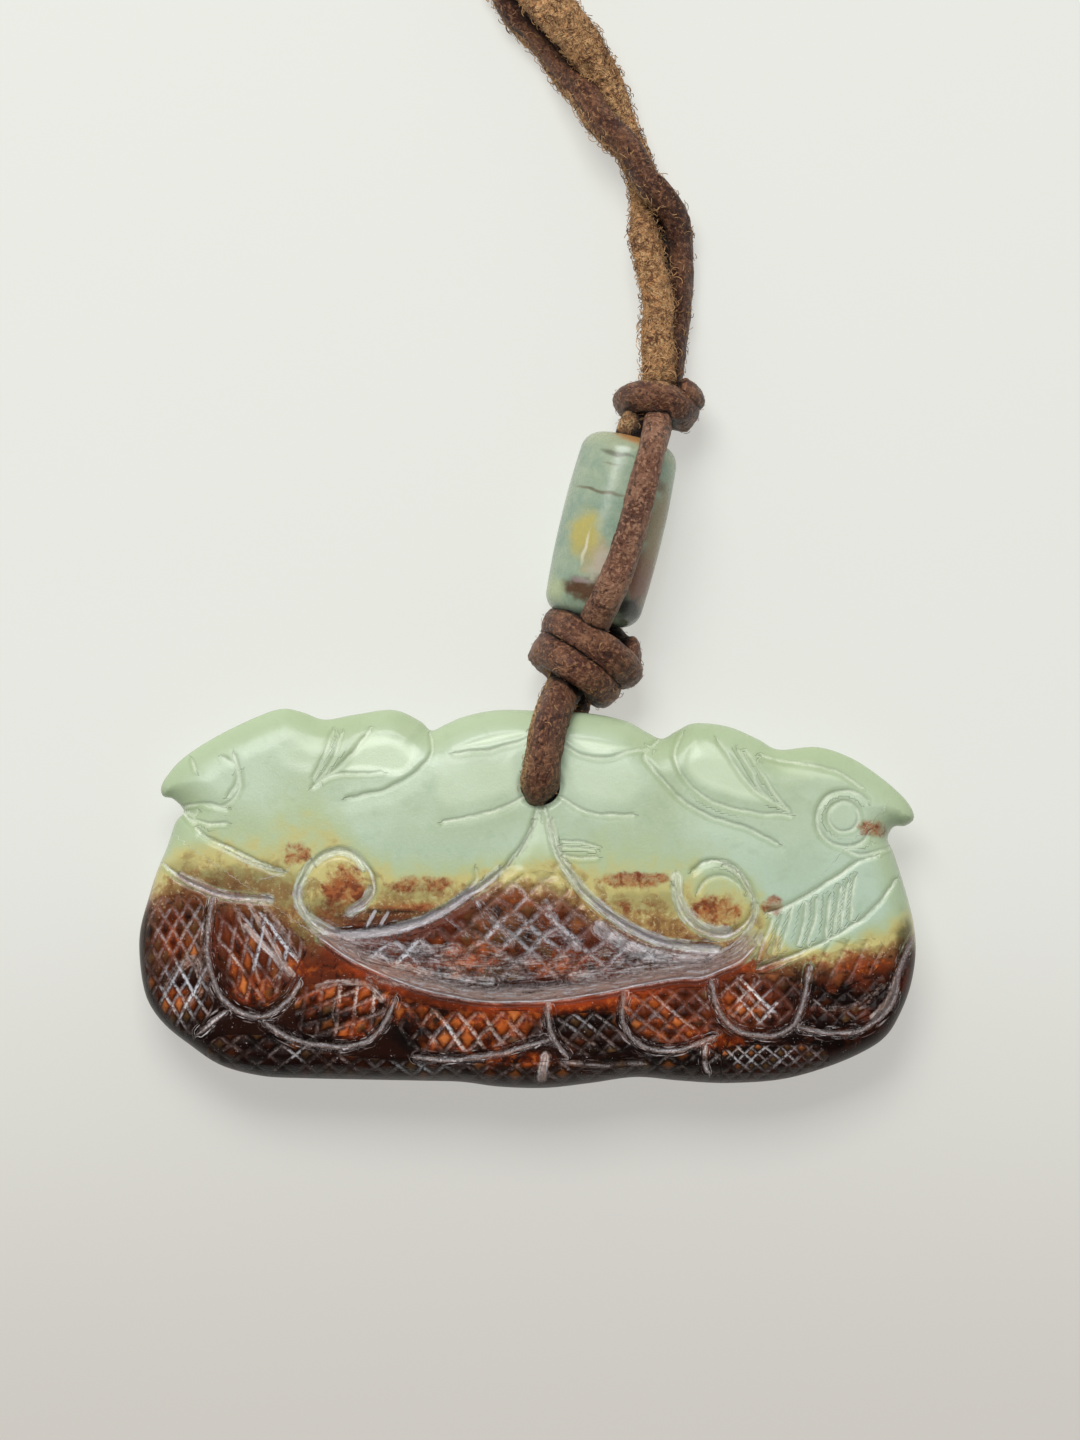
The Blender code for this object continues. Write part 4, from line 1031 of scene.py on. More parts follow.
HEAD_LINES = [
    ([(-16.2, 13.7), (-16.5, 12.6), (-17, 11.3), (-17.7, 9.9)], 0.12, 0.22, 0.22, 0.1),
    ([(-15.4, 13.5), (-15.7, 12.4), (-16.2, 11.3), (-16.9, 10.2), (-17.5, 9.5)], 0.12, 0.22, 0.22, 0.1),
    ([(-13.1, 13.8), (-13.8, 12.8), (-14.6, 11.8), (-15.6, 10.8), (-16.7, 10), (-17.7, 9.2)], 0.22, 0.4,
      0.4, 0.2),
    ([(-17.1, 9.7), (-15.6, 10.2), (-13.8, 10.2), (-12.1, 10.3)], 0.15, 0.3, 0.3, 0.2),
    ([(15.8, 13.1), (16.5, 12), (17.5, 10.5), (18.4, 9.3), (19.8, 8.2), (21.5, 7.2)], 0.25, 0.4, 0.4, 0.1),
    ([(18.2, 12.1), (19, 10.9), (19.8, 9.7), (20.6, 8.4), (21.7, 7.2)], 0.25, 0.4, 0.4, 0.1),
    ([(17.5, 12.2), (18.5, 10.6), (19.1, 9.3), (20.2, 8.1)], 0.12, 0.3, 0.3, 0),
    ([(-24.3, 11.8), (-24, 10.8), (-24.1, 9.5), (-24.7, 8.5)], 0.2, 0.4, 0.4, 0.15),
    ([(-27.8, 11.4), (-27.5, 10.6)], 0.12, 0.3, 0.3, 0.2),
    ([(-28.7, 7.6), (-27.3, 7.8), (-26.1, 7.7), (-25, 7.4)], 0.3, 0.6, 0.4, 0.2),
    ([(-28, 6.6), (-26.5, 6.1), (-25, 6.1)], 0.15, 0.3, 0.3, 0.3),
]
# The comb of strokes on the right wing, all cut alike: depth, slopes' widths and whiteness.
COMB_CUT = (0.04, 0.14, 0.14, 0.5)
COMB = [
    [(27.2, 1.6), (26.9, -0.1), (26.8, -1.7)],
    [(26.5, 1.1), (26.2, -0.8), (26, -2.3)],
    [(25.9, 0.7), (25.6, -1.3), (25.3, -3)],
    [(25, -0.1), (24.8, -1.9), (24.7, -3.2)],
    [(24, -0.2), (23.8, -1.8), (23.2, -3.8)],
    [(23, -0.5), (22.9, -2.1), (22.4, -3.8)],
    [(22, -0.6), (21.6, -2.2), (21, -4.1)],
    [(21.3, -1.1), (20.8, -2.6), (20.3, -4.5)],
    [(20.4, -1.6), (19.8, -3.2), (19.1, -4.9)],
]
SMALL_MARKS = [
    ([(26.3, 4), (27.5, 3.5), (28.7, 3.7), (30, 4.2)], 0.2, 0.3, 0.3, 0.3),
    ([(3, 4.6), (4.4, 4.5), (5.7, 4.2)], 0.1, 0.2, 0.2, 0.2),
    ([(2.9, 4.1), (4.4, 4), (5.5, 3.8)], 0.1, 0.2, 0.2, 0.2),
    ([(3, 3.4), (4.2, 3.2), (5.7, 3.2)], 0.1, 0.2, 0.2, 0.2),
    ([(14.7, -12.3), (14.6, -13.4), (14.9, -14.4)], 0.3, 0.4, 0.4, 0.9),
    ([(-25, -9.5), (-26, -10.2), (-27.1, -11.2)], 0.3, 0.4, 0.4, 0.9),
    ([(3.2, -13.6), (5.9, -13.9), (9.4, -13.7)], 0.2, 0.3, 0.3, 0.5),
    ([(-4.2, 2.2), (-4.1, 1.5), (-4.7, 0.8)], 0.1, 0.4, 0.4, 0.6),
]
# White smears left by the tools: each one's line, half its width, and its strength.
SMEARS = [
    ([(-13.5, 2.5), (-14.1, 3.3), (-15.2, 3.8), (-16.6, 3.5), (-18, 2.6), (-18.7, 1.4), (-19, 0.1),
      (-18.5, -1.2), (-17.3, -2.2), (-15.2, -3.1), (-12.3, -2.9), (-9.7, -2.3), (-7.2, -1.3), (-5.3, 0),
      (-3.5, 1.2), (-2.3, 2.2)], 0.46, 1),
    ([(0.6, 6.4), (0, 4.7), (-1.1, 3.1), (-2.3, 1.9)], 0.35, 0.6),
    ([(1.8, 6.2), (2.5, 3.9), (3.7, 1.7), (5.5, -0.3), (8, -2.2), (10.4, -3.4), (13.5, -4.2), (15.7, -4.4)],
      0.5, 0.95),
    ([(12.3, 1.6), (12.4, 0.1), (13, -1.2), (14, -2.2), (15.2, -2.8), (16.5, -2.9)], 0.6, 1),
    ([(16.2, 2.8), (17.5, 1.9), (18.4, 0.5), (18.8, -1.1), (18.2, -2.8), (17.1, -4.1), (15, -5.2)], 0.4,
      0.75),
    ([(-14.6, -1.2), (-13.5, -0.4), (-13, 0.6)], 0.45, 0.9),
    ([(-23.1, -0.5), (-21.6, -2.9), (-20, -5.6)], 0.3, 0.75),
    ([(-24.3, -0.8), (-23.1, -3.8), (-22.1, -7.1)], 0.2, 0.55),
    ([(-23.3, -2.4), (-21.6, -4.2), (-19.4, -6.4)], 0.32, 0.95),
    ([(-13.2, -2.4), (-12.6, -1.2)], 0.16, 1),
    ([(-12.1, -2.3), (-11.5, -1.3)], 0.14, 0.9),
    ([(-13, -6.7), (-9, -7.4), (-4, -8.3), (1, -8.3), (6, -7.6), (11, -6.6), (15.5, -5.9)], 0.5, 0.5),
    ([(-22, -0.3), (-20.3, -2.6), (-19, -4.9)], 0.25, 0.65),
    ([(-20.9, -2.2), (-19.8, -4.2), (-21, -7.2)], 0.22, 0.55),
    ([(-30, -7.6), (-29, -6.1), (-27.6, -5.1), (-27, -7.2), (-28.1, -8.8)], 0.5, 0.55),
    ([(-17.3, -7.4), (-15.2, -7), (-13, -7.4), (-12, -8.4)], 0.35, 0.7),
    ([(-15.8, -8.4), (-16, -9.7), (-15.6, -10.8)], 0.25, 0.5),
    ([(1.5, -13.2), (1.2, -14.9)], 0.5, 0.9),
    ([(17.3, -7.2), (18.7, -8.6), (20, -9.9)], 0.22, 0.7),
    ([(18.7, -6.8), (17.9, -8.7), (17, -9.8)], 0.22, 0.6),
    ([(-11.5, -4.6), (-6, -5.6), (0, -5.9), (6, -5.3), (11, -4.8)], 1.5, 0.5),
    ([(-3, -2), (0.5, -3.2), (4, -3.4)], 1.4, 0.4),
    ([(24.6, -9.4), (27.4, -8.9), (29.4, -7.4)], 0.5, 0.4),
    ([(28.5, -9.9), (29.7, -8.7), (30.5, -6.6)], 0.35, 0.75),
    ([(-6.6, -1.9), (-4.8, -3.4), (-2.3, -4.2)], 0.4, 0.45),
    ([(-4, -0.5), (-2.3, -2.6), (-1.3, -3.8)], 0.45, 0.6),
    ([(1.5, -0.5), (2.7, -2.6), (4.2, -4.2)], 0.5, 0.65),
    ([(6, -2.6), (8.5, -4.2), (11.7, -5.1), (14.4, -5.2)], 0.8, 0.8),
    ([(4, -6.6), (8, -6.3), (12, -5.9), (15, -5.6)], 0.7, 0.7),
    ([(-13.5, -4.6), (-10.5, -5.6), (-7, -6.6), (-3, -7)], 0.5, 0.7),
    ([(-15, -3.3), (-11.5, -4.1), (-8.5, -4.5), (-6, -4.4)], 0.7, 0.6),
    ([(-28.7, 1.8), (-26.3, 0.6), (-24, 0), (-21.3, -0.2)], 0.4, 0.9),
    ([(-25.2, 3.9), (-22.7, 2.8), (-20.1, 2.1)], 0.22, 0.7),
    ([(-22.1, 1.6), (-20.5, 1.9), (-19.1, 2.6)], 0.25, 0.5),
]
# Carved rings: centre, radius, start and end in degrees, depth, slopes inwards and outwards, whiteness.
RINGS = [
    ((26.2, 6.7), 1.25, 0, 350, 0.18, 0.25, 0.3, 0.15),
    ((26.3, 6.5), 2.35, 40, 330, 0.35, 0.45, 0.5, 0.3),
    ((-25.9, 9.6), 2.1, -110, 70, 0.15, 0.35, 0.4, 0.1),
    ((15.9, -0.2), 1.9, 20, 160, 0.12, 0.3, 0.3, 0.2),
]
LINE_STEP = 0.3


def arc_line(centre, radius, start, end, step):
    pieces = max(6, round(radius * math.radians(abs(end - start)) / step))
    turns = np.radians(np.linspace(start, end, pieces + 1))
    return np.stack([centre[0] + radius * np.cos(turns), centre[1] + radius * np.sin(turns)], axis=1)


COMB_LINES = [(points, *COMB_CUT) for points in COMB]
LINES = CRESCENT_AND_SCROLLS + SCALES + WING_BARS + EARS_AND_CREST + HEAD_LINES + COMB_LINES + SMALL_MARKS
carved = [(smooth_line(points, LINE_STEP), *rest) for points, *rest in LINES]
carved += [(arc_line(*ring[:4], LINE_STEP), *ring[4:]) for ring in RINGS]
smears = [(smooth_line(points, LINE_STEP), *rest) for points, *rest in SMEARS]
smears += [(smooth_line(points, LINE_STEP), SCALE_SMEAR, SCALE_SMEAR_SHARE * white)
           for points, _, _, _, white in SCALES]
outline = smooth_line(OUTLINE, 0.25, closed=True)
print(len(carved), "carved lines and an outline of", len(outline), "points")

# %% [markdown]
# ## Distances
# Everything that the carving needs is a distance: to the edge, where the stone rounds over, and to each
# carved line, where it is cut. A distance with a sign tells on which side of a line a point lies, so the
# two slopes of a cut can differ. Points far from a line are skipped, which makes the whole face quick to
# work out.

# %% Distance helpers
CHUNK = 4000
FAR = 1.0e3


def signed_distance(points, line):
    """Each point's distance to a line, positive on the line's left, and its share of the way along it."""
    found = np.empty(len(points))
    shares = np.empty(len(points))
    start = line[:-1]
    along = line[1:] - start
    lengths = (along**2).sum(axis=1)
    for first in range(0, len(points), CHUNK):
        offset = points[first : first + CHUNK, None, :] - start[None, :, :]
        share = np.clip((offset * along).sum(axis=2) / lengths, 0.0, 1.0)
        gap = offset - share[:, :, None] * along
        squared = (gap**2).sum(axis=2)
        nearest = squared.argmin(axis=1)
        rows = np.arange(len(offset))
        side = along[nearest, 0] * gap[rows, nearest, 1] - along[nearest, 1] * gap[rows, nearest, 0]
        found[first : first + CHUNK] = np.where(side < 0.0, -1.0, 1.0) * np.sqrt(squared[rows, nearest])
        shares[first : first + CHUNK] = (nearest + share[rows, nearest]) / len(start)
    return found, shares


def near_distance(points, line, reach):
    """The same, worked out only for points within reach of the line's own box."""
    low, high = line.min(axis=0) - reach, line.max(axis=0) + reach
    near = ((points > low) & (points < high)).all(axis=1)
    found = np.full(len(points), FAR)
    shares = np.zeros(len(points))
    if near.any():
        found[near], shares[near] = signed_distance(points[near], line)
    return found, shares


def inside(points, ring):
    """True for each point inside a closed ring of points."""
    found = np.zeros(len(points), dtype=bool)
    x1, y1 = ring[:, 0], ring[:, 1]
    x2, y2 = np.roll(x1, -1), np.roll(y1, -1)
    for first in range(0, len(points), CHUNK):
        x, y = points[first : first + CHUNK, 0:1], points[first : first + CHUNK, 1:2]
        crosses = (y1 > y) != (y2 > y)
        at = (x2 - x1) * (y - y1) / np.where(y2 == y1, 1e-9, y2 - y1) + x1
        found[first : first + CHUNK] = (crosses & (x < at)).sum(axis=1) % 2 == 1
    return found


def noise_field(points, scale, seed, octaves=1):
    """Smooth noise over the plan, about -1 to 1."""
    found = np.zeros(len(points))
    for octave in range(octaves):
        size = scale * 2**octave
        values = [noise.noise((x * size, y * size, seed + octave)) for x, y in points]
        found += np.array(values) / 2**octave
    return found


closed_outline = np.vstack([outline, outline[:1]])


def to_edge(points):
    return np.abs(signed_distance(points, closed_outline)[0])


print("distance from the middle to the edge:", round(float(to_edge(np.array([[0.0, 0.0]]))[0]), 2), "mm")

# %% [markdown]
# ## Cross-hatching
# The scallops and the crescent are filled with two families of straight cuts that cross each other. Each
# region has its own two directions and pitches, and in some of them one family is weaker. A hand-cut
# lattice wanders, so each point's place between the cuts is kept as a phase that noise bends a little.
# The relief and the stone's finish both read that phase, so the white of a cut lies in the cut.

# %% Hatched regions
# Each region: outline, half width of a cut in mm, and each family's direction in degrees, pitch in mm and
# strength.
HATCHED = [
    ([(-14, -5), (-10.4, -6.1), (-5.6, -7), (-0.6, -7), (5, -6.4), (10.4, -5.6), (12.5, -5), (8, -3.1),
      (5, -0.8), (3, 1.7), (0.8, 2.3), (-1.8, 1.3), (-4.2, -0.9), (-7.4, -2.4), (-11.5, -3.7)], 0.32,
      (43, 1.7, 1), (-42, 1.65, 1)),
    ([(-31, -0.2), (-28, 0.4), (-26.6, -0.6), (-26.5, -4), (-25.7, -7.8), (-26.5, -10.5), (-28.5, -11.5),
      (-31.3, -8), (-31.9, -4)], 0.19, (60, 1.05, 0.9), (-58, 1.1, 0.9)),
    ([(-25.6, -0.8), (-21.5, -1.2), (-18.2, -3.8), (-19, -6), (-20.4, -8), (-22.4, -9), (-24.6, -7.6),
      (-25.7, -4.5)], 0.2, (-52, 1.4, 0.8), (78, 1.1, 0.75)),
    ([(-19, -7.6), (-15.4, -7), (-11.4, -8), (-12.4, -10.8), (-15.2, -11.6), (-18.8, -11.2)], 0.22,
      (80, 1.4, 0.85), (20, 1.2, 0.9)),
    ([(-11, -8.6), (-6, -9.3), (0.8, -9.4), (1.4, -11.2), (-2.2, -12.4), (-6.2, -13), (-9.8, -12.4)], 0.24,
      (50, 1.5, 0.95), (-50, 1.5, 0.95)),
    ([(2.4, -9.8), (7.2, -9.4), (7.4, -10.4), (8.6, -12.4), (4.2, -13.2), (2.6, -11.6)], 0.2,
      (-38, 1.05, 1), (48, 1.3, 0.45)),
    ([(8.2, -8), (14.8, -7.4), (15.2, -9.4), (16.2, -11), (12.2, -12.2), (9.2, -11.6), (8.2, -10)], 0.2,
      (-38, 1.1, 0.95), (46, 1.3, 0.5)),
    ([(15.8, -7.2), (18, -6.2), (22.6, -6.8), (22.2, -9), (20.6, -10.6), (18, -10.6), (16.2, -9.4)], 0.2,
      (45, 1.3, 1), (-45, 1.3, 1)),
    ([(24.4, -3.9), (26.6, -3.3), (29.4, -3.6), (29, -6), (26, -7.6), (24, -7)], 0.13, (65, 1.35, 0.7),
      (-25, 1.9, 0.3)),
    ([(23.8, -7.2), (26, -7.8), (29.4, -6.2), (29.6, -8.6), (27, -10.4), (23.4, -10.4)], 0.15,
      (45, 1.1, 0.4), (-40, 1.1, 0.5)),
    ([(16.2, -12.4), (20.8, -12.1), (24.4, -12.2), (25, -14.8), (21, -15.8), (16.4, -15.9)], 0.17,
      (42, 0.8, 0.9), (-42, 0.8, 0.9)),
    ([(-26, -11.6), (-20, -11.4), (-15, -12.9), (-9.6, -13.4), (-2.2, -13.6), (2.6, -13.4), (9, -13.2),
      (15.6, -12.4), (15.6, -15.8), (9, -15.6), (1.5, -16.4), (-9, -15.9), (-18.5, -15.7), (-26, -14.6)],
      0.2, (40, 1.25, 0.8), (-40, 1.25, 0.8)),
]
HATCH_DEPTH = 0.2
BROAD_BEND = 0.26
FINE_BEND = 0.13
FAMILIES = (("u", "hatch_a"), ("v", "hatch_b"))
HATCH_NAMES = ("hatch_u", "hatch_v", "hatch_a", "hatch_b", "half_u", "half_v")


def hatch_fields(points):
    """Both families' phases and strengths, and half widths as shares of a pitch, where each point is."""
    bends = [BROAD_BEND * noise_field(points, 0.14, seed) + FINE_BEND * noise_field(points, 0.5, seed + 4.0)
             for seed in (5.0, 15.0)]
    found = {name: np.zeros(len(points)) for name in HATCH_NAMES}
    best = np.zeros(len(points))
    for region, half_width, *families in HATCHED:
        ring = smooth_line(region, 0.5, closed=True)
        distance = np.abs(near_distance(points, np.vstack([ring, ring[:1]]), 0.5)[0])
        share = np.where(inside(points, ring), smoothstep(0.0, 0.35, np.minimum(distance, FAR)), 0.0)
        here = share > best
        best = np.maximum(best, share)
        for (end, level), bend, (direction, pitch, strength) in zip(FAMILIES, bends, families):
            turn = math.radians(direction)
            phase = (points[:, 1] * math.cos(turn) - points[:, 0] * math.sin(turn)) / pitch + bend
            found["hatch_" + end] = np.where(here, phase, found["hatch_" + end])
            found["half_" + end] = np.where(here, half_width / pitch, found["half_" + end])
            found[level] = np.where(here, strength * share, found[level])
    return found


def cut_at(fields):
    """1 in the middle of a cut of either family, 0 outside the cuts."""
    found = 0.0
    for end, level in FAMILIES:
        phase = fields["hatch_" + end]
        gap = np.abs(phase - np.round(phase)) / np.maximum(fields["half_" + end], 0.05)
        found = np.maximum(found, fields[level] * np.exp(-gap * gap))
    return found


print(len(HATCHED), "hatched regions")

# %% [markdown]
# ## Heights of the face and the back
# The face is a low dome. Near the edge it rounds over, and at the edge it meets the back at the rim's
# height. Raised and sunk areas, such as the hollows of the ears, are given as outlines with soft borders.
# The carved lines are taken away last.

# %% Heights
CROWN_HEIGHT = 9.0
CROWN_Y = -3.0
CROWN_FALL_TO_ENDS = 1.8
CROWN_FALL_TO_TOP = 0.8
HALF_WIDTH = 32.3
HALF_HEIGHT = 15.7
RIM_HEIGHT = 4.3
RIM_RISE_TO_TOP = 1.3
RIM_RISES_BETWEEN = (3.0, 12.0)
FRONT_ROUND = 1.9
ROUND_MORE_AT_TOP = 1.4
ROUNDER_BETWEEN = (2.0, 9.0)
BACK_ROUND = 5.0
BACK_LIFT = 3.2
BACK_LIFTS_BETWEEN = (2.6, 8.4)
CARVING_GROWS_BETWEEN = (0.35, 1.5)
WAVES = 0.035
HOLE_CENTRE = np.array([1.1, 9.2])
HOLE_RADIUS = 1.6
HOLE_LIP = 0.5
HOLE_LIP_DEPTH = 0.35

# Raised or sunk areas: outline, height change, softness of the border, how much paler it is painted (painted
# light, where these panels catch more light)
AREAS = [
    ([(0.7, 7), (1.5, 7), (2.2, 4), (2.6, 2.2), (0.9, 1.6), (-0.8, 2.2), (-1.9, 2.6), (-0.6, 4.4)], -0.15,
      0.5, 0.9),
    ([(-14.3, 13.6), (-11.6, 13.9), (-9.2, 12.9), (-8.9, 11.4), (-10.4, 9.9), (-13, 10.2), (-15.4, 10.4),
      (-14.9, 12)], -0.3, 0.8, 1),
    ([(-21, 13.3), (-16.4, 13.5), (-16.9, 11.8), (-17.8, 10.2), (-20.5, 10.8)], -0.12, 1.2, 0.4),
    ([(-6.6, 12.2), (-3.2, 13.6), (-0.6, 13.9), (-0.2, 13.3), (-3.2, 12.5)], -0.25, 0.5, 1),
    ([(3.2, 13.4), (6, 13.2), (9.2, 12.4), (6.2, 11.8), (4.2, 12.2)], -0.25, 0.5, 1),
    ([(13, 12.4), (14.6, 13.4), (17.4, 11.6), (19, 9.6), (20.6, 8), (17.8, 8), (14.6, 9), (12.8, 10.6)],
      -0.3, 0.9, 0.9),
    ([(20.6, 11.2), (24, 11), (26.8, 10.2), (27.8, 9.4), (25.4, 9.6), (22.6, 9.8), (21, 10.2)], -0.18, 0.7,
      0.9),
    ([(-7, 11.2), (-3, 11.6), (-0.8, 12.2), (-0.6, 8.6), (-3.4, 7.4), (-6.6, 6.8), (-8.2, 8.4)], 0.12, 1.2,
      0.55),
    ([(3.2, 11.4), (6.2, 11), (9, 11.4), (10, 9.2), (8.4, 7.2), (5.4, 7.4), (3.4, 8.4)], 0.12, 1.2, 0.55),
]
GREEN_RELIEF = 0.26
GREEN_ENDS_BETWEEN = (-0.4, 0.9)
WOBBLE = 0.09
CUT_REACH = 2.4
SHARP_HALF = 0.28
SHARP_SHARE = 0.25
FIELD_REACH = 3.0
# How far apart the streaks of two lines, and those of lines and smears, start in the same noise
LINE_SHIFT = 37.0
SMEAR_SHIFT = 500.0
LINE_NAMES = ("cut", "smear", "line", "from_line", "whiteness", "across", "lengthwise")


def relief(points, skin):
    """How deep the lines cut, how smeared each place is, and its place by the nearest line and mark."""
    count = len(points)
    wobble = WOBBLE * noise_field(points, 0.75, 25.0, 2)
    cut, smear, whiteness, lengthwise = (np.zeros(count) for _ in range(4))
    line_gap = np.full(count, FAR)
    across = np.full(count, FAR)
    softened = GREEN_RELIEF + (1.0 - GREEN_RELIEF) * smoothstep(*GREEN_ENDS_BETWEEN, skin)
    for number, (line, depth, left, right, white) in enumerate(carved):
        distance, share_along = near_distance(points, line, CUT_REACH)
        distance = distance + wobble
        closer = np.abs(distance) < np.abs(line_gap)
        whiteness = np.where(closer, white, whiteness)
        lengthwise = np.where(closer, LINE_SHIFT * number + share_along * line_length(line), lengthwise)
        line_gap = np.where(closer, distance, line_gap)
        across = np.where(closer, distance, across)
        share = np.clip(np.abs(distance) / np.where(distance > 0.0, left, right), 0.0, 1.0)
        slope = 1.0 - share * share * (3.0 - 2.0 * share)
        sharp = np.clip(1.0 - np.abs(distance) / SHARP_HALF, 0.0, 1.0)
        cut = np.maximum(cut, softened * depth * (slope + SHARP_SHARE * (sharp - slope)))
    for number, (line, half_width, strength) in enumerate(smears):
        distance, share_along = near_distance(points, line, 2.0 * half_width)
        gap = np.abs(distance)
        closer = gap < np.minimum(2.0 * half_width, np.abs(across))
        start = SMEAR_SHIFT + LINE_SHIFT * number
        lengthwise = np.where(closer, start + share_along * line_length(line), lengthwise)
        across = np.where(closer, distance, across)
        smear = np.maximum(smear, strength * smoothstep(1.5 * half_width, 0.4 * half_width, gap))
    line_gap, across = np.clip((line_gap, across), -FIELD_REACH, FIELD_REACH)
    values = (cut, smear, line_gap, np.abs(line_gap), whiteness, across, lengthwise)
    return dict(zip(LINE_NAMES, values))


def rim_at(points):
    return RIM_HEIGHT + RIM_RISE_TO_TOP * smoothstep(*RIM_RISES_BETWEEN, points[:, 1])


AREA_DEPTH = 0.38


def area_fields(points):
    rise = np.zeros(len(points))
    pale = np.zeros(len(points))
    for region, change, softness, painted_light in AREAS:
        ring = smooth_line(region, 0.4, closed=True)
        distance = np.abs(near_distance(points, np.vstack([ring, ring[:1]]), softness + 0.1)[0])
        share = np.where(inside(points, ring), smoothstep(0.0, softness, distance), 0.0)
        rise += AREA_DEPTH * change * share
        pale = np.maximum(pale, painted_light * share)
    return rise, pale


def front_height(points, fields):
    x, y = points[:, 0], points[:, 1]
    crown = CROWN_HEIGHT - CROWN_FALL_TO_ENDS * (x / HALF_WIDTH) ** 2
    crown = crown - CROWN_FALL_TO_TOP * ((y - CROWN_Y) / HALF_HEIGHT) ** 2
    edge = fields["edge"]
    reach = FRONT_ROUND + ROUND_MORE_AT_TOP * smoothstep(*ROUNDER_BETWEEN, y)
    share = np.clip(edge / reach, 0.0, 1.0)
    rounded = np.sqrt(1.0 - (1.0 - share) ** 2)
    rim = rim_at(points)
    carved_share = smoothstep(*CARVING_GROWS_BETWEEN, edge)
    lattice = HATCH_DEPTH * cut_at(fields)
    depth = np.maximum(fields["cut"], lattice + 0.5 * fields["cut"])
    to_hole = np.linalg.norm(points - HOLE_CENTRE, axis=1) - HOLE_RADIUS
    lip = HOLE_LIP_DEPTH * (1.0 - smoothstep(-0.05, HOLE_LIP, to_hole))
    change = fields["rise"] + WAVES * fields["ripple"] - depth - lip
    return rim + (crown - rim) * rounded + change * carved_share


def back_height(points, edge):
    lift = BACK_LIFT * smoothstep(*BACK_LIFTS_BETWEEN, points[:, 1])
    share = np.clip(edge / BACK_ROUND, 0.0, 1.0)
    rounded = 1.0 - np.sqrt(1.0 - (1.0 - share) ** 2)
    return lift + (rim_at(points) - lift) * rounded


print("height of the crown:", CROWN_HEIGHT, "mm")

# %% [markdown]
# ## Where the skin is
# A jade pebble has a weathered skin that iron has stained yellow, orange and brown. The carver kept it along
# the lower half. The border between clean stone and skin is a wandering line across the pendant, and the
# colours come in order below it: a thin yellow band, ochre, russet, then brown that goes nearly black along
# the bottom. Each point keeps how far it is below the border, and patches of darker or glowing stone are
# soft blots with their own centres. One thin dark blot beside the left scroll is a painted shadow line, not
# stone.

# %% Skin fields
SKIN_BORDER = [
    (-33.1, 2.2), (-31.5, 2.6), (-28.5, 4.1), (-24.8, 4.4), (-22.1, 4.2), (-19.8, 4.8), (-18.1, 4.5),
    (-15.2, 4.1), (-13, 2.2), (-10.6, 1.6), (-6.5, 2.1), (-2.3, 2.6), (1.1, 2.9), (5.2, 2.8), (9.4, 2.2),
    (13.5, 1.6), (15.6, 0.8), (18.1, 0.3), (19.4, -0.9), (20.4, -2.9), (21.5, -4.3), (24.4, -4.4),
    (26.9, -3.6), (29.4, -2.6), (31.5, -1.2), (33.5, -0.5),
]
BROWN_BORDER = [
    (-33.1, -0.5), (-31.5, -0.1), (-28.5, 0.9), (-26.5, 0.3), (-24.5, 0.1), (-22.5, -0.8), (-20.5, -1.7),
    (-18.8, -3), (-17.6, -3.8), (-16.2, -2.2), (-14.5, -1.2), (-11.5, -1.2), (-9, -1.3), (-7, -0.4),
    (-5, 0.3), (-3, 0.3), (0, 0.3), (2.5, 0), (4.5, -1), (6.5, -2.4), (9, -3.4), (11.5, -3.8), (13.5, -4.2),
    (16, -4.6), (18.5, -5), (20.5, -5.6), (22.7, -5.5), (25.6, -5.4), (29.4, -4.7), (31, -3.8), (33.5, -3),
]
# Soft oval blots: centre, half width, half height and strength
DARK_BLOTS = [
    (-26.5, -7, 2.2, 2.6, 0.45), (-27.5, -10.8, 2.5, 1.6, 0.7), (-19.8, -12.4, 4.5, 1.7, 1),
    (-22.4, -2, 1.6, 1.6, 0.35), (-17.4, -9.9, 2.4, 1.2, 1), (-9.6, -11.2, 1.7, 1.9, 1),
    (-8, -13.8, 6, 0.8, 0.6), (-6.9, -3.9, 1.4, 1.3, 0.4), (2.8, -10.4, 1.6, 1, 0.9),
    (6.2, -10.3, 2.2, 1.1, 1), (7.6, -12.8, 3.6, 1.1, 0.8), (12.6, -13.4, 6.5, 1.2, 1),
    (22.2, -7.6, 1.4, 2.2, 0.85), (25.5, -8.2, 4.2, 1.8, 1), (24.6, -11.2, 5, 2.2, 1),
    (29.6, -8.4, 2.2, 2.6, 1), (31.2, -4.2, 0.9, 2.6, 0.8), (-31.6, -5, 0.8, 4, 0.6),
    # the blot at (-11.8, -1.2) on the next line is a painted shadow: a thin dark line beside the left
    # scroll's band
    (18.5, -12.8, 5, 1.3, 1), (-25.9, 1.2, 1.5, 0.6, 0.55), (-11.8, -1.2, 4, 0.22, 0.9),
    (-9, -4.2, 1.2, 0.8, 0.5), (3.6, -1.9, 1.2, 0.9, 0.45), (-16, -1.5, 2.6, 0.5, 0.5),
    (0.2, -2.2, 1.6, 1.2, 0.5), (9, -5, 1.6, 0.6, 0.5), (-13.5, -5.4, 2.2, 0.7, 0.4),
    (-24, 1.4, 5, 1.3, 0.5), (-20, 0.6, 2, 1.6, 0.4), (-18.4, -3.2, 1.6, 1.6, 0.5),
    (-16.6, -1, 1.8, 1.2, 0.5), (9.6, -0.4, 4, 1, 0.3), (-9.5, 0.4, 3.5, 0.8, 0.3),
    (-28.5, 2.4, 1.6, 0.9, 0.3), (-21, -13.6, 5, 1.4, 1), (-12, -2, 3.5, 0.5, 0.5),
]
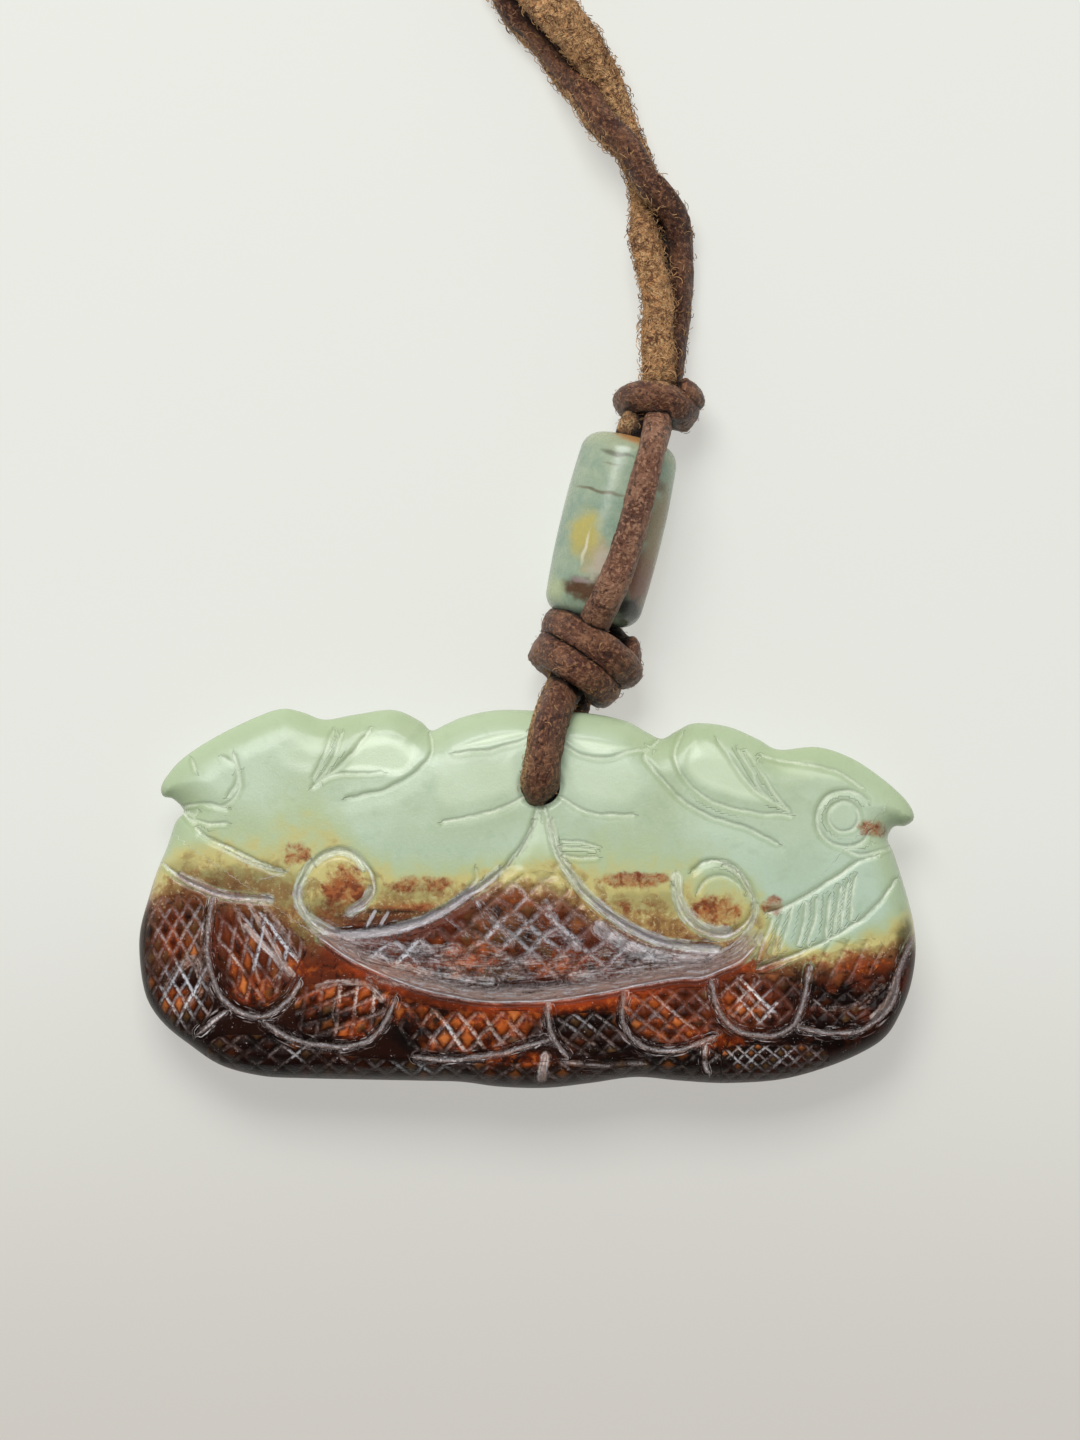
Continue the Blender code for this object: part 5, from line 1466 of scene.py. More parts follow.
GLOW_BLOTS = [
    (-8, -9.8, 3.2, 1, 0.8), (-3, -10.2, 3.6, 1.4, 1), (1, -9.4, 2, 0.9, 0.7), (4.8, -8.9, 3, 0.7, 1),
    (9.5, -8.6, 3.4, 1.1, 0.9), (-5.2, -12, 4, 0.9, 0.7), (-14, -8.2, 4.6, 1.2, 0.9),
    (-14.4, -10.8, 2, 0.9, 0.9), (-22.5, -7.6, 2, 1.2, 1), (-28.6, -3.6, 1.8, 2.2, 0.5),
    (-23.8, -4.4, 1, 2.6, 0.6), (-12, -6, 4, 0.7, 0.8), (12.4, -10.8, 3, 1.3, 0.8),
    (17.8, -8.9, 2.2, 1.8, 0.7), (27.4, -5.6, 3, 0.7, 0.9), (-4.5, -4.8, 3, 1.8, 0.7),
    (19, -5.6, 2.4, 0.7, 0.9), (3, -5.6, 3, 1.2, 0.6), (-28.8, -8.6, 1.4, 1.2, 0.5),
    (16.2, -12.2, 3, 0.8, 0.8), (-0.5, 0.2, 1.8, 0.8, 0.5), (-18.5, -5.8, 2, 0.8, 0.5),
    (-1, -13.4, 3, 0.6, 0.7),
]
RUST_BLOTS = [
    (-19, 3.6, 1.3, 1.1, 0.9), (-15.2, 0.6, 2.1, 2.3, 1), (-0.4, -2, 4.6, 1.8, 0.55),
    (28.6, 5.8, 1.3, 0.9, 1), (20.3, -0.6, 1, 0.9, 0.9), (8.5, 1.3, 3, 0.8, 0.9), (-8.6, 1, 3.2, 0.8, 0.85),
    (15.6, -1.1, 2.6, 1.4, 1), (10.6, 1.5, 1.8, 0.6, 0.9), (26.2, -5, 3.4, 0.7, 0.7),
    (-16.8, -1.4, 1.4, 0.9, 0.7), (9, -0.9, 2, 0.8, 0.6), (-9, -0.9, 3, 0.4, 0.8), (5, 0.2, 1.2, 0.7, 0.5),
]
# Where the cross-hatching is brightest: partly whiter dust, partly painted glints
BRIGHT_BLOTS = [
    (-28.5, -7.6, 1.9, 2.4, 1), (0.2, -3.4, 4.2, 2, 1), (-1, 0.4, 1.4, 1.2, 0.5), (18.7, -8.8, 1.8, 1.6, 1),
    (23.8, -9, 1, 0.8, 0.9), (27.1, -9.7, 1.4, 0.6, 0.7), (-13.8, -8.1, 2.4, 1.1, 0.9),
    (-5.1, -11.3, 3.2, 1.6, 0.6), (5, -10.4, 2.6, 0.9, 0.5), (10.5, -9.4, 2.6, 1, 0.45),
    (-21.8, -3.6, 2.8, 2.8, 0.9), (-9.5, -13.9, 3.6, 0.7, 0.6), (19.5, -13, 3.6, 1, 0.5),
    (-19.2, -13, 1.6, 0.8, 0.4), (26.4, -5, 1.6, 1.4, 0.5), (-10.5, -4.6, 2.6, 1.2, 0.7),
    (-28, -2.6, 2.4, 2, 0.5), (7.6, -4.6, 3.6, 1.2, 0.6),
]
BLOT_NAMES = ("dark", "glow", "rust", "bright")
BLOT_FADES_BETWEEN = (1.35, 0.45)
BLOT_WANDER = 0.35
SKIN_WANDER = 0.2


def blots(points, spots, wander):
    """The strongest of some soft oval blots, with wandering borders."""
    found = np.zeros(len(points))
    for x, y, wide, tall, amount in spots:
        reach = np.sqrt(((points[:, 0] - x) / wide) ** 2 + ((points[:, 1] - y) / tall) ** 2)
        found = np.maximum(found, amount * smoothstep(*BLOT_FADES_BETWEEN, reach + BLOT_WANDER * wander))
    return found


def skin_depth(points):
    """0 where the skin's yellow begins, 1 where its brown does, and one more for each 2 mm below that."""
    yellow = np.interp(points[:, 0], *np.array(SKIN_BORDER).T)
    brown = np.interp(points[:, 0], *np.array(BROWN_BORDER).T)
    between = (yellow - points[:, 1]) / (yellow - brown)
    return np.where(between < 1.0, between, 1.0 + 0.5 * (brown - points[:, 1]))


def stone_fields(points):
    """Every field that the heights and the finish read."""
    broad = noise_field(points, 0.22, 31.0, 2)
    fine = noise_field(points, 0.9, 41.0, 2)
    skin = skin_depth(points) + SKIN_WANDER * (broad + fine)
    fields = {"edge": to_edge(points), "skin": skin, "ripple": noise_field(points, 0.35, 51.0)}
    fields.update(relief(points, skin))
    fields.update(hatch_fields(points))
    fields["rise"], fields["pale"] = area_fields(points)
    for name, spots in zip(BLOT_NAMES, (DARK_BLOTS, GLOW_BLOTS, RUST_BLOTS, BRIGHT_BLOTS)):
        fields[name] = blots(points, spots, fine)
    fields["seam"] = np.clip(signed_distance(points, carved[0][0])[0], -FIELD_REACH, FIELD_REACH)
    return fields


print("skin depth at the origin:", round(float(skin_depth(np.array([[0.0, 0.0]]))[0]), 2))

# %% [markdown]
# ## The net of points
# The face needs fine points for the cuts, the rounded edge needs rows that follow the outline, and the
# plain back needs few. Each face is triangulated in the plane (a Delaunay triangulation keeps triangles
# from being thin), then lifted to its height. The two share the outline's points, and the hole's wall
# joins the two rings round the hole.

# %% The pendant's mesh
FINE_STEP = 0.185
COARSE_STEP = 1.0
ROWS_APART = 0.87
HOLE_POINTS = 56


def inset_ring(depth, step):
    """Points a given depth inside the outline, left out where two sides come too near each other."""
    ring = smooth_line(OUTLINE, step, closed=True)
    along = np.roll(ring, -1, axis=0) - np.roll(ring, 1, axis=0)
    along /= np.linalg.norm(along, axis=1)[:, None]
    moved = ring + depth * np.stack([-along[:, 1], along[:, 0]], axis=1)
    good = inside(moved, outline) & (to_edge(moved) > 0.96 * depth)
    return moved[good]


def filled_plan(step, margin):
    """A staggered grid that stays a margin inside the outline and clear of the hole."""
    rows = np.arange(-HALF_HEIGHT, HALF_HEIGHT + 0.2, step * ROWS_APART)
    columns = np.arange(-HALF_WIDTH, HALF_WIDTH, step)
    found = np.array([(x + 0.5 * step * (i % 2), y) for i, y in enumerate(rows) for x in columns])
    found = found[inside(found, outline)]
    found = found[to_edge(found) > margin]
    return found[np.linalg.norm(found - HOLE_CENTRE, axis=1) > HOLE_RADIUS + 0.5 * step]


hole_turns = np.linspace(0.0, 2.0 * math.pi, HOLE_POINTS, endpoint=False)
hole_ring = HOLE_CENTRE + HOLE_RADIUS * np.stack([np.cos(hole_turns), np.sin(hole_turns)], axis=1)


def triangulated(plan):
    """Triangles over the plan, whose first points are the outline and then the hole's ring."""
    ring = len(outline)
    edges = [(i, (i + 1) % ring) for i in range(ring)]
    edges += [(ring + i, ring + (i + 1) % HOLE_POINTS) for i in range(HOLE_POINTS)]
    flat, _, triangles, _, _, _ = delaunay_2d_cdt([Vector(p) for p in plan], edges, [], 0, 1e-6)
    flat = np.array([(p.x, p.y) for p in flat])
    corners = np.array([tuple(t) for t in triangles if len(t) == 3])
    middle = flat[corners].mean(axis=1)
    corners = corners[inside(middle, outline)]
    middle = flat[corners].mean(axis=1)
    return flat, corners[~inside(middle, hole_ring)]


EDGE_ANGLES = (8, 18, 28, 38, 48, 58, 68, 79)
BACK_ANGLES = (10, 20, 30, 40, 50, 60, 70, 80)
front_plan = [outline, hole_ring]
front_plan += [inset_ring(FRONT_ROUND * (1.0 - math.cos(math.radians(a))), 0.25) for a in EDGE_ANGLES]
front_plan.append(filled_plan(FINE_STEP, 0.9 * FRONT_ROUND))
front_flat, front_faces = triangulated(np.vstack(front_plan))
front_fields = stone_fields(front_flat)
front_levels = front_height(front_flat, front_fields)
print("face:", len(front_flat), "points,", len(front_faces), "triangles")

back_plan = [outline, hole_ring]
back_plan += [inset_ring(BACK_ROUND * (1.0 - math.cos(math.radians(a))), 0.4 + 0.01 * a)
              for a in BACK_ANGLES]
back_plan.append(filled_plan(COARSE_STEP, BACK_ROUND))
back_flat, back_faces = triangulated(np.vstack(back_plan))
back_edge = to_edge(back_flat)
back_levels = back_height(back_flat, back_edge)
print("back:", len(back_flat), "points,", len(back_faces), "triangles")

# %% Face, back and hole wall as one closed mesh
def stone_mesh():
    ring = len(outline)
    front_levels[:ring] = rim_at(outline)
    points = [np.column_stack([front_flat, front_levels])]
    moved = np.arange(len(back_flat)) - ring + len(front_flat)
    moved[:ring] = np.arange(ring)
    points.append(np.column_stack([back_flat, back_levels])[ring:])
    faces = front_faces.tolist() + moved[back_faces][:, ::-1].tolist()
    for i in range(HOLE_POINTS):
        k = (i + 1) % HOLE_POINTS
        faces.append((ring + i, moved[ring + i], moved[ring + k], ring + k))
    mesh = bpy.data.meshes.new("carved_stone")
    mesh.from_pydata((np.vstack(points) * MM).tolist(), [], faces)
    rest = len(back_flat) - ring
    back_points = back_flat[ring:]
    broad = noise_field(back_points, 0.16, 61.0, 2)
    back_values = {"edge": back_edge[ring:], "skin": skin_depth(back_points) - 1.5 + 1.4 * broad,
                   "dark": np.clip(0.4 + 0.5 * noise_field(back_points, 0.2, 71.0), 0.0, 1.0),
                   "glow": np.clip(0.3 + 0.6 * noise_field(back_points, 0.15, 81.0), 0.0, 1.0),
                   "seam": np.full(rest, FIELD_REACH)}
    for name in (*LINE_NAMES[1:], *HATCH_NAMES, *BLOT_NAMES, "edge", "pale", "skin", "seam"):
        keep_values(mesh, name, np.concatenate([front_fields[name], back_values.get(name, np.zeros(rest))]))
    mesh.shade_smooth()
    return mesh


stone = add_object("carved_stone", stone_mesh())
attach(stone, "root")
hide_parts("jade_pendant")
print("stone:", len(stone.data.vertices), "points,", len(stone.data.polygons), "faces")

# %% [markdown]
# ## The stone's finish
# Polished nephrite is glassy but not clear: light goes in a little and comes out softened, so the finish has
# some subsurface light and a coat-like gloss. Its colour is laid down in the order in which the stone got
# it: clean green stone, the stains of the skin, then the carver's cuts, which are whitish because they were
# never polished. Painted light and shade go on top: glints in the cuts and on some lozenges, shade beside
# the lines, and shade along the stained bottom edge.

# %% The stone's colours
def make_jade_group():
    """The stone's colour before anything was cut into it."""
    group, w, given, out = new_group("jade and its skin", {"Place": (0.0, 0.0, 0.0)}, ("Color", "Depth"))
    place = given["Place"]
    cloud = w.noise(place, 0.12, 3.0, 0.5, 0.4)
    medium = w.noise(place, 0.7, 4.0, 0.6, 0.5)
    grit = w.noise(place, 1.7, 3.0, 0.6, 0.3)
    fine = w.noise(place, 3.2, 4.0, 0.65, 0.3)
    skin = w.field("skin")
    green = w.lay(
        w.mix(w.ramp(cloud, 0.35, 0.65), srgb(180, 196, 164), srgb(193, 210, 184)),
        (w.ramp(w.part(place, "Y"), 8.0, 0.0), 0.6, srgb(186, 208, 190)),
        (w.ramp(fine, 0.45, 0.8), 0.25, srgb(208, 220, 196)),
        (w.ramp(medium, 0.5, 0.3), 0.3, srgb(164, 184, 152)),
        # painted light: the ear and collar panels are painted paler where they catch more light
        (w.field("pale"), 0.65, srgb(220, 234, 204)),
        # painted shade: a darker, yellower green within 3 mm of the edge, where the face rounds over
        (w.ramp(w.field("edge"), 2.8, 0.9), 0.6, srgb(172, 190, 146)),
    )

    uneven = w.plus(w.centred(medium, 1.1), w.plus(w.centred(fine, 0.4), w.centred(grit, 0.4)))
    depth = w.linear(uneven, w.linear(w.ramp(skin, -0.3, 0.6), 0.7, 0.3), skin)
    below = w.ramp(depth, 0.8, 1.5)
    band = w.times(w.ramp(depth, 0.0, 0.5), w.ramp(depth, 1.6, 1.0))
    cloudy = w.times(w.ramp(cloud, 0.46, 0.38), w.ramp(depth, 1.0, 1.8))
    rust = w.plus(w.field("rust"), w.plus(w.centred(medium, 1.9), w.centred(fine, 1.2)))
    rusted = w.times(w.ramp(rust, 0.1, 1.3), w.ramp(w.field("rust"), 0.0, 0.6))
    deep_rust = w.times(rusted, w.ramp(w.plus(grit, w.centred(medium, 0.8)), 0.46, 0.66))
    ember = w.times(w.field("glow"), below, w.ramp(medium, 0.36, 0.56))
    colour = w.lay(
        green,
        (w.ramp(skin, -0.8, 0.1), 1.0, srgb(184, 197, 152)),
        (w.ramp(depth, -0.3, 0.35), 1.0, srgb(204, 192, 126)),
        (w.ramp(depth, 0.4, 0.85), 1.0, srgb(166, 130, 80)),
        (w.ramp(depth, 0.8, 1.1), 1.0, srgb(120, 72, 46)),
        (w.ramp(depth, 1.2, 2.0), 1.0, srgb(94, 42, 24)),
        (cloudy, 0.6, srgb(84, 62, 38)),
        (w.ramp(depth, 2.8, 5.6), 1.0, srgb(36, 16, 10)),
        (w.times(w.ramp(medium, 0.44, 0.66), band), 0.6, srgb(134, 106, 66)),
        (w.times(w.ramp(fine, 0.44, 0.34), band), 0.4, srgb(226, 216, 180)),
        (rusted, 0.95, srgb(164, 92, 52)),
        (deep_rust, 0.8, srgb(104, 50, 34)),
        (ember, 0.9, srgb(140, 54, 20)),
        (w.times(ember, w.ramp(grit, 0.52, 0.64)), 0.8, srgb(196, 104, 44)),
        (w.times(below, w.ramp(grit, 0.45, 0.34)), 0.75, srgb(34, 16, 11)),
        (w.times(w.field("dark"), w.ramp(medium, 0.7, 0.46)), 0.97, srgb(14, 9, 8)),
    )
    w.wire(out, Color=colour, Depth=depth)
    return group


jade_group = make_jade_group()
print("colour group:", len(jade_group.nodes), "nodes")

# %% [markdown]
# ## What the carver's tools left, with painted glints and shade
# Worn cuts look whitish, more in some strokes than in others, and long use has smeared and frosted the stone
# beside them. That could be painted too, but the white would slip off the cuts. So the finish reads the same
# distances as the relief does: three helpers find the marks of the cross-hatching, of the lines and of the
# smears, and one group puts them together. Besides the whitish dust, they paint glints in the cuts, a few
# bright sparks and shade beside the carved lines.

# %% Marks of the cross-hatching
def hatch_marks(w, grain):
    """How far the nearest cut of either family is, how broad the white of the cuts is, and their bright
    middles and sparks, which are partly painted glints.
    """
    gaps, bodies, cores = [], [], []
    for end, level in FAMILIES:
        phase = w.plus(w.field("hatch_" + end), w.centred(grain.fine, 0.16), w.centred(grain.grit, 0.16))
        which = w.math("ROUND", phase)
        stroke = w.node("ShaderNodeTexWhiteNoise", {"noise_dimensions": "1D"}, W=which).outputs["Value"]
        force = w.times(w.ramp(w.field(level), 0.15, 0.9), w.linear(stroke, 0.6, 0.4))
        gaps.append(w.apart(phase, which))
        side = w.math("DIVIDE", gaps[-1], w.most(w.field("half_" + end), 0.05))
        bodies.append(w.times(w.ramp(side, 1.05, 0.45), force))
        cores.append(w.times(w.ramp(side, 0.75, 0.3), force))
    bright_here = w.field("bright")
    present = w.ramp(w.linear(bright_here, 0.3, grain.medium), 0.4, 0.62)
    body = w.times(
        w.most(*bodies), grain.in_skin, w.linear(present, 0.95, 0.12),
        w.linear(w.ramp(grain.fine, 0.4, 0.54), 0.6, 0.4), w.ramp(w.field("dark"), 1.25, 0.3),
        w.linear(w.ramp(grain.speck, 0.35, 0.6), 0.4, 0.6),
        w.linear(w.ramp(w.field("edge"), 0.3, 1.6), 0.6, 0.4))
    # the middle of each cut, brightest in the bright blots: partly whiter dust, partly painted glints
    core = w.times(w.most(*cores), w.ramp(grain.fine, 0.38, 0.52),
                   w.linear(bright_here, 0.8, w.times(present, 0.35)))
    # sparks: painted glints, a few bright specks on the stained stone
    sparks = w.times(w.ramp(grain.speck, 0.66, 0.73), w.ramp(grain.grit, 0.48, 0.6), 0.8)
    return w.math("MINIMUM", *gaps), body, w.times(w.most(core, sparks), grain.in_skin)


print("the cross-hatching is read as", len(FAMILIES), "families of cuts")

# %% Marks of the carved lines
def line_marks(w, grain):
    """The white of the lines, its brightest part, which is partly a painted glint, the painted shade beside
    them, and how low they lie.
    """
    line, from_line = w.field("line"), w.field("from_line")
    whiteness = w.field("whiteness")
    gap = w.math("ABSOLUTE", line)
    guard = w.ramp(from_line, 0.62, 0.45)
    white = w.times(whiteness, guard)
    sway = w.plus(line, w.centred(grain.along, 0.3))
    rough_gap = w.plus(w.math("ABSOLUTE", sway), w.centred(grain.fine, 0.36))
    rough_gap = w.times(rough_gap, w.linear(grain.in_skin, -0.4, 1.6))
    mottled = w.linear(w.ramp(grain.speck, 0.4, 0.56), 0.65, -0.65)
    broken = w.linear(grain.in_skin, mottled, 1.0)
    body = w.times(
        w.ramp(rough_gap, 0.34, 0.14), w.ramp(white, 0.1, 0.8), broken, w.ramp(grain.along, 0.3, 0.52),
        w.linear(w.ramp(grain.streaks, 0.42, 0.58), 0.7, 0.2))
    # core: a thin bright line down each cut, partly whiter dust and partly a painted glint
    core = w.times(
        w.ramp(w.plus(gap, w.centred(grain.speck, 0.4)), 0.17, 0.06), broken, guard,
        w.ramp(grain.streaks, 0.36, 0.52), w.ramp(grain.along, 0.34, 0.5), w.linear(white, 0.65, 0.4))
    scratched = w.times(
        w.ramp(gap, 0.85, 0.35), w.ramp(grain.hairlines, 0.57, 0.64), w.ramp(whiteness, 0.3, 0.9),
        grain.in_skin, w.ramp(from_line, 1.0, 0.7), 0.75)
    # lee and far_side: painted shade along the sides of the cuts
    lee = w.ramp(w.apart(line, -0.3), 0.26, 0.05)
    far_side = w.times(w.ramp(w.apart(line, 0.55), 0.2, 0.05), grain.in_skin)
    shade = w.times(w.most(lee, far_side), guard, w.linear(grain.in_skin, 0.3, 0.4))
    return body, w.most(core, scratched), shade, w.times(w.ramp(gap, 0.3, 0.0), guard, -0.07)


print("lines that leave marks:", len(carved))

# %% Smears and the crescent's frosted edge
def smear_marks(w, grain):
    """How smeared or frosted each place is, and the white lip along the crescent's lower edge."""
    uneven = w.plus(w.centred(grain.streaks, 1.8), w.centred(grain.fine, 0.9))
    smear, seam = w.field("smear"), w.field("seam")
    smeared = w.times(w.ramp(w.plus(smear, uneven), 0.3, 0.95), w.ramp(smear, 0.0, 0.25))
    above = w.ramp(seam, 0.0, 0.06)
    frosty = w.times(w.ramp(seam, 2.4, 0.5), above)
    frost = w.times(w.ramp(w.linear(frosty, 0.75, uneven), 0.1, 0.8), w.ramp(frosty, 0.0, 0.3), 0.85)
    lip = w.plus(w.apart(seam, 0.06), w.centred(grain.fine, 0.1))
    on_seam = w.ramp(w.field("from_line"), 0.5, 0.35)
    return w.most(smeared, frost), w.times(w.ramp(lip, 0.14, 0.05), above, on_seam, 0.9)


print("smears:", len(smears))

# %% Cuts and smears together
def make_cuts_group():
    """How chalky the stone is from cuts and smears, how bright that is (partly painted glints), the painted
    shade beside the lines, and how high the surface.
    """
    group, w, given, out = new_group(
        "cuts and smears", {"Place": (0.0, 0.0, 0.0), "Depth": 0.0},
        ("Chalk", "Bright", "Shade", "Height", "Inside", "Lozenge", "Lattice"))
    place = given["Place"]
    run = w.point(w.times(w.field("lengthwise"), 0.6), w.times(w.field("across"), 3.4))
    grain = SimpleNamespace(
        medium=w.noise(place, 0.9, 3.0, 0.6, 0.5), grit=w.noise(place, 1.9, 3.0, 0.6, 0.6),
        fine=w.noise(place, 3.6, 4.0, 0.65, 0.3), speck=w.noise(place, 7.5, 2.0, 0.6),
        streaks=w.noise(run, 1.0, 5.0, 0.75, 0.8),
        hairlines=w.noise(w.scaled(run, (1.3, 2.1, 1.0)), 1.0, 3.0, 0.6, 0.4),
        along=w.noise(w.point(w.times(w.field("lengthwise"), 0.45)), 1.0, 3.0, 0.6),
        in_skin=w.ramp(given["Depth"], 0.0, 1.0))
    gap, body, core = hatch_marks(w, grain)
    line_body, line_core, shade, groove = line_marks(w, grain)
    soft, lip = smear_marks(w, grain)
    line_core = w.most(line_core, lip)
    drawn = w.most(line_body, line_core, w.times(soft, 0.8))
    streaky = w.times(soft, w.ramp(w.plus(grain.hairlines, w.centred(grain.speck, 0.16)), 0.5, 0.62))

    in_lattice = w.ramp(w.most(w.field("hatch_a"), w.field("hatch_b")), 0.1, 0.4)
    cell = w.point(w.math("FLOOR", w.field("hatch_u")), w.math("FLOOR", w.field("hatch_v")))
    lozenge = w.node("ShaderNodeTexWhiteNoise", {"noise_dimensions": "2D"}, Vector=cell).outputs["Value"]
    height = w.plus(w.times(gap, 0.3, in_lattice), groove)
    for rough, amount in ((grain.fine, 0.03), (grain.speck, 0.012), (w.times(grain.streaks, soft), 0.06)):
        height = w.linear(rough, amount, height)
    w.wire(out, Chalk=w.most(body, core, drawn), Bright=w.most(core, line_core, streaky), Shade=shade,
           Height=height, Inside=w.times(w.ramp(gap, 0.14, 0.4), in_lattice),
           Lozenge=w.times(lozenge, in_lattice), Lattice=w.ramp(w.math("SUBTRACT", body, drawn), 0.0, 0.2))
    return group


cuts_group = make_cuts_group()
print("cuts group:", len(cuts_group.nodes), "nodes")

# %% The stone's material
def make_stone_finish():
    made, w, shader = new_material("pendant jade")
    place = w.scaled(w.place(), (1000.0, 1000.0, 1000.0))
    jade = w.group(jade_group, Place=place)
    depth = jade["Depth"]
    cuts = w.group(cuts_group, Place=place, Depth=depth)
    below = w.ramp(depth, 0.8, 1.6)
    glow, seam, lozenge = w.field("glow"), w.field("seam"), cuts["Lozenge"]

    # Each lozenge of the lattice gets a random tone from its cell. Olive is the stain's own colour, and lit,
    # hot and dim are partly its orange and brown, partly painted glints and shade of each facet.
    inner = w.times(cuts["Inside"], below)
    lit = w.times(w.ramp(lozenge, 0.5, 0.9), w.linear(glow, 0.8, 0.1), inner)
    hot = w.times(w.ramp(lozenge, 0.86, 0.97), w.linear(glow, 0.7, 0.2), inner)
    olive = w.times(w.ramp(lozenge, 0.36, 0.42), w.ramp(lozenge, 0.56, 0.5), inner)
    dim = w.times(w.ramp(lozenge, 0.4, 0.2), w.ramp(lozenge, 0.0, 0.04), inner)
    ember = w.times(w.ramp(seam, -1.3, -0.2), w.ramp(seam, 0.02, -0.06), below, w.linear(glow, 0.7, 0.3))
    colour = w.lay(
        jade["Color"],
        (lit, 0.9, srgb(200, 100, 42)),
        (hot, 0.8, srgb(236, 150, 84)),
        (olive, 0.6, srgb(104, 74, 44)),
        (dim, 0.85, srgb(30, 14, 11)),
        (ember, 0.8, srgb(176, 70, 32)),
        # painted shade beside the carved lines
        (cuts["Shade"], 0.8, w.mix(below, srgb(150, 168, 124), srgb(26, 14, 10))),
    )

    # cool: painted reflection, so that the brightest lattice lines are painted a cool bluish white
    cool = w.times(w.field("bright"), below, w.ramp(glow, 0.8, 0.2))
    lattice = w.mix(cool, w.mix(glow, srgb(148, 114, 102), srgb(204, 148, 120)), srgb(176, 184, 192))
    # the brightest parts of the cuts are painted near white: partly whiter dust, partly painted glints
    on_green = w.mix(cuts["Bright"], srgb(206, 214, 186), srgb(240, 246, 226))
    on_brown = w.lay(
        w.mix(glow, srgb(196, 191, 194), srgb(214, 186, 170)),
        (w.ramp(seam, 2.0, 0.3), 1.0, srgb(206, 176, 164)),
        (cuts["Lattice"], 1.0, lattice),
        (cuts["Bright"], 1.0, w.mix(glow, srgb(238, 239, 246), srgb(250, 238, 229))),
    )
    chalk = w.mix(w.ramp(depth, 0.1, 1.1), on_green, on_brown)
    # foot: painted shade, so that the stained stone is near black within a millimetre of the edge, where the
    # rim turns away from the light
    foot = w.times(w.ramp(w.field("edge"), 0.9, 0.15), w.ramp(depth, 0.6, 2.0))
    colour = w.lay(colour, (cuts["Chalk"], 0.92, chalk), (foot, 0.6, srgb(26, 13, 9)))
    w.wire(shader, Base_Color=colour, Roughness=w.linear(cuts["Chalk"], 0.3, w.linear(below, 0.12, 0.2)),
           Coat_Weight=w.linear(below, -0.42, 0.45), Coat_Roughness=0.22, IOR=1.6, Specular_IOR_Level=0.07,
           Normal=w.bump(cuts["Height"], 1.0, MM), Subsurface_Weight=0.08, Subsurface_Scale=1.0,
           Subsurface_Radius=(0.0009, 0.001, 0.0007))
    return made


stone.data.materials.append(make_stone_finish())
print("stone finished")

# %% [markdown]
# ## Painted shade where the hide is sheltered
# The lace is painted darker where shade falls on it: between two wraps, under the bead's end, in the drilled
# hole. For each point of the visible lace a few short rays go out, and the share of them that meets
# something near is kept as an attribute, which the finish turns into painted shade.

# %% Shelter
SHELTER_REACH = 0.0026
SHELTER_RAYS = 14
SHELTER_UNTIL = 0.085
LOWEST_RAY = 0.12
HIGHEST_RAY = 0.98
GOLDEN_ANGLE = 2.39996
START_ABOVE_SKIN = 0.00012


def outward_rays():
    """Directions spread evenly over a half sphere about Z."""
    found = []
    for i in range(SHELTER_RAYS):
        height = LOWEST_RAY + (HIGHEST_RAY - LOWEST_RAY) * (i + 0.5) / SHELTER_RAYS
        turn = i * GOLDEN_ANGLE
        wide = math.sqrt(1.0 - height * height)
        found.append(Vector((wide * math.cos(turn), wide * math.sin(turn), height)))
    return found


# Painted shade: the share of short rays from each point that meet something near, kept as an attribute
def mark_painted_shade(item, trees):
    rays = outward_rays()
    up = Vector((0.0, 0.0, 1.0))
    values = []
    for point in item.data.vertices:
        met = 0
        if point.co.y < SHELTER_UNTIL:
            turned = up.rotation_difference(point.normal)
            start = point.co + START_ABOVE_SKIN * point.normal
            for ray in rays:
                heading = turned @ ray
                met += any(tree.ray_cast(start, heading, SHELTER_REACH)[0] is not None for tree in trees)
        values.append(met / SHELTER_RAYS)
    keep_values(item.data, "painted_shade", values)
    print(f"{item.name}: sheltered by {100.0 * sum(values) / len(values):.0f}% on average")


def tree_of(item):
    corners = [point.co.copy() for point in item.data.vertices]
    return BVHTree.FromPolygons(corners, [tuple(face.vertices) for face in item.data.polygons])


laces = (knotted_thong, outer_strand, strand_left, strand_right)
near_trees = [tree_of(item) for item in (*laces, bead, stone)]
for lace in laces:
    mark_painted_shade(lace, near_trees)

# %% [markdown]
# ## Table and light
# The object lies on a smooth, pale table under one wide, soft light from behind and above, as in a small
# photo tent. The tent is dark in front and overhead, so that dark stone stays dark instead of mirroring
# white cloth. Light that a white room throws back from everywhere fills the shadows. The table also has a
# little glow of its own, painted light that lightens the shadows on it, and it is painted darker towards the
# front as a painted falloff of the light.

# %% Table and light
FLOOR_HALF = 1.2
BLACK = (0.0, 0.0, 0.0, 1.0)
CLOTH_WHITE = (1.0, 0.99, 0.97, 1.0)
# TABLE_GLOW: the table's emission, painted light that lifts the shadows on it
TABLE_GLOW = (1.0, 0.955, 0.925, 1.0)


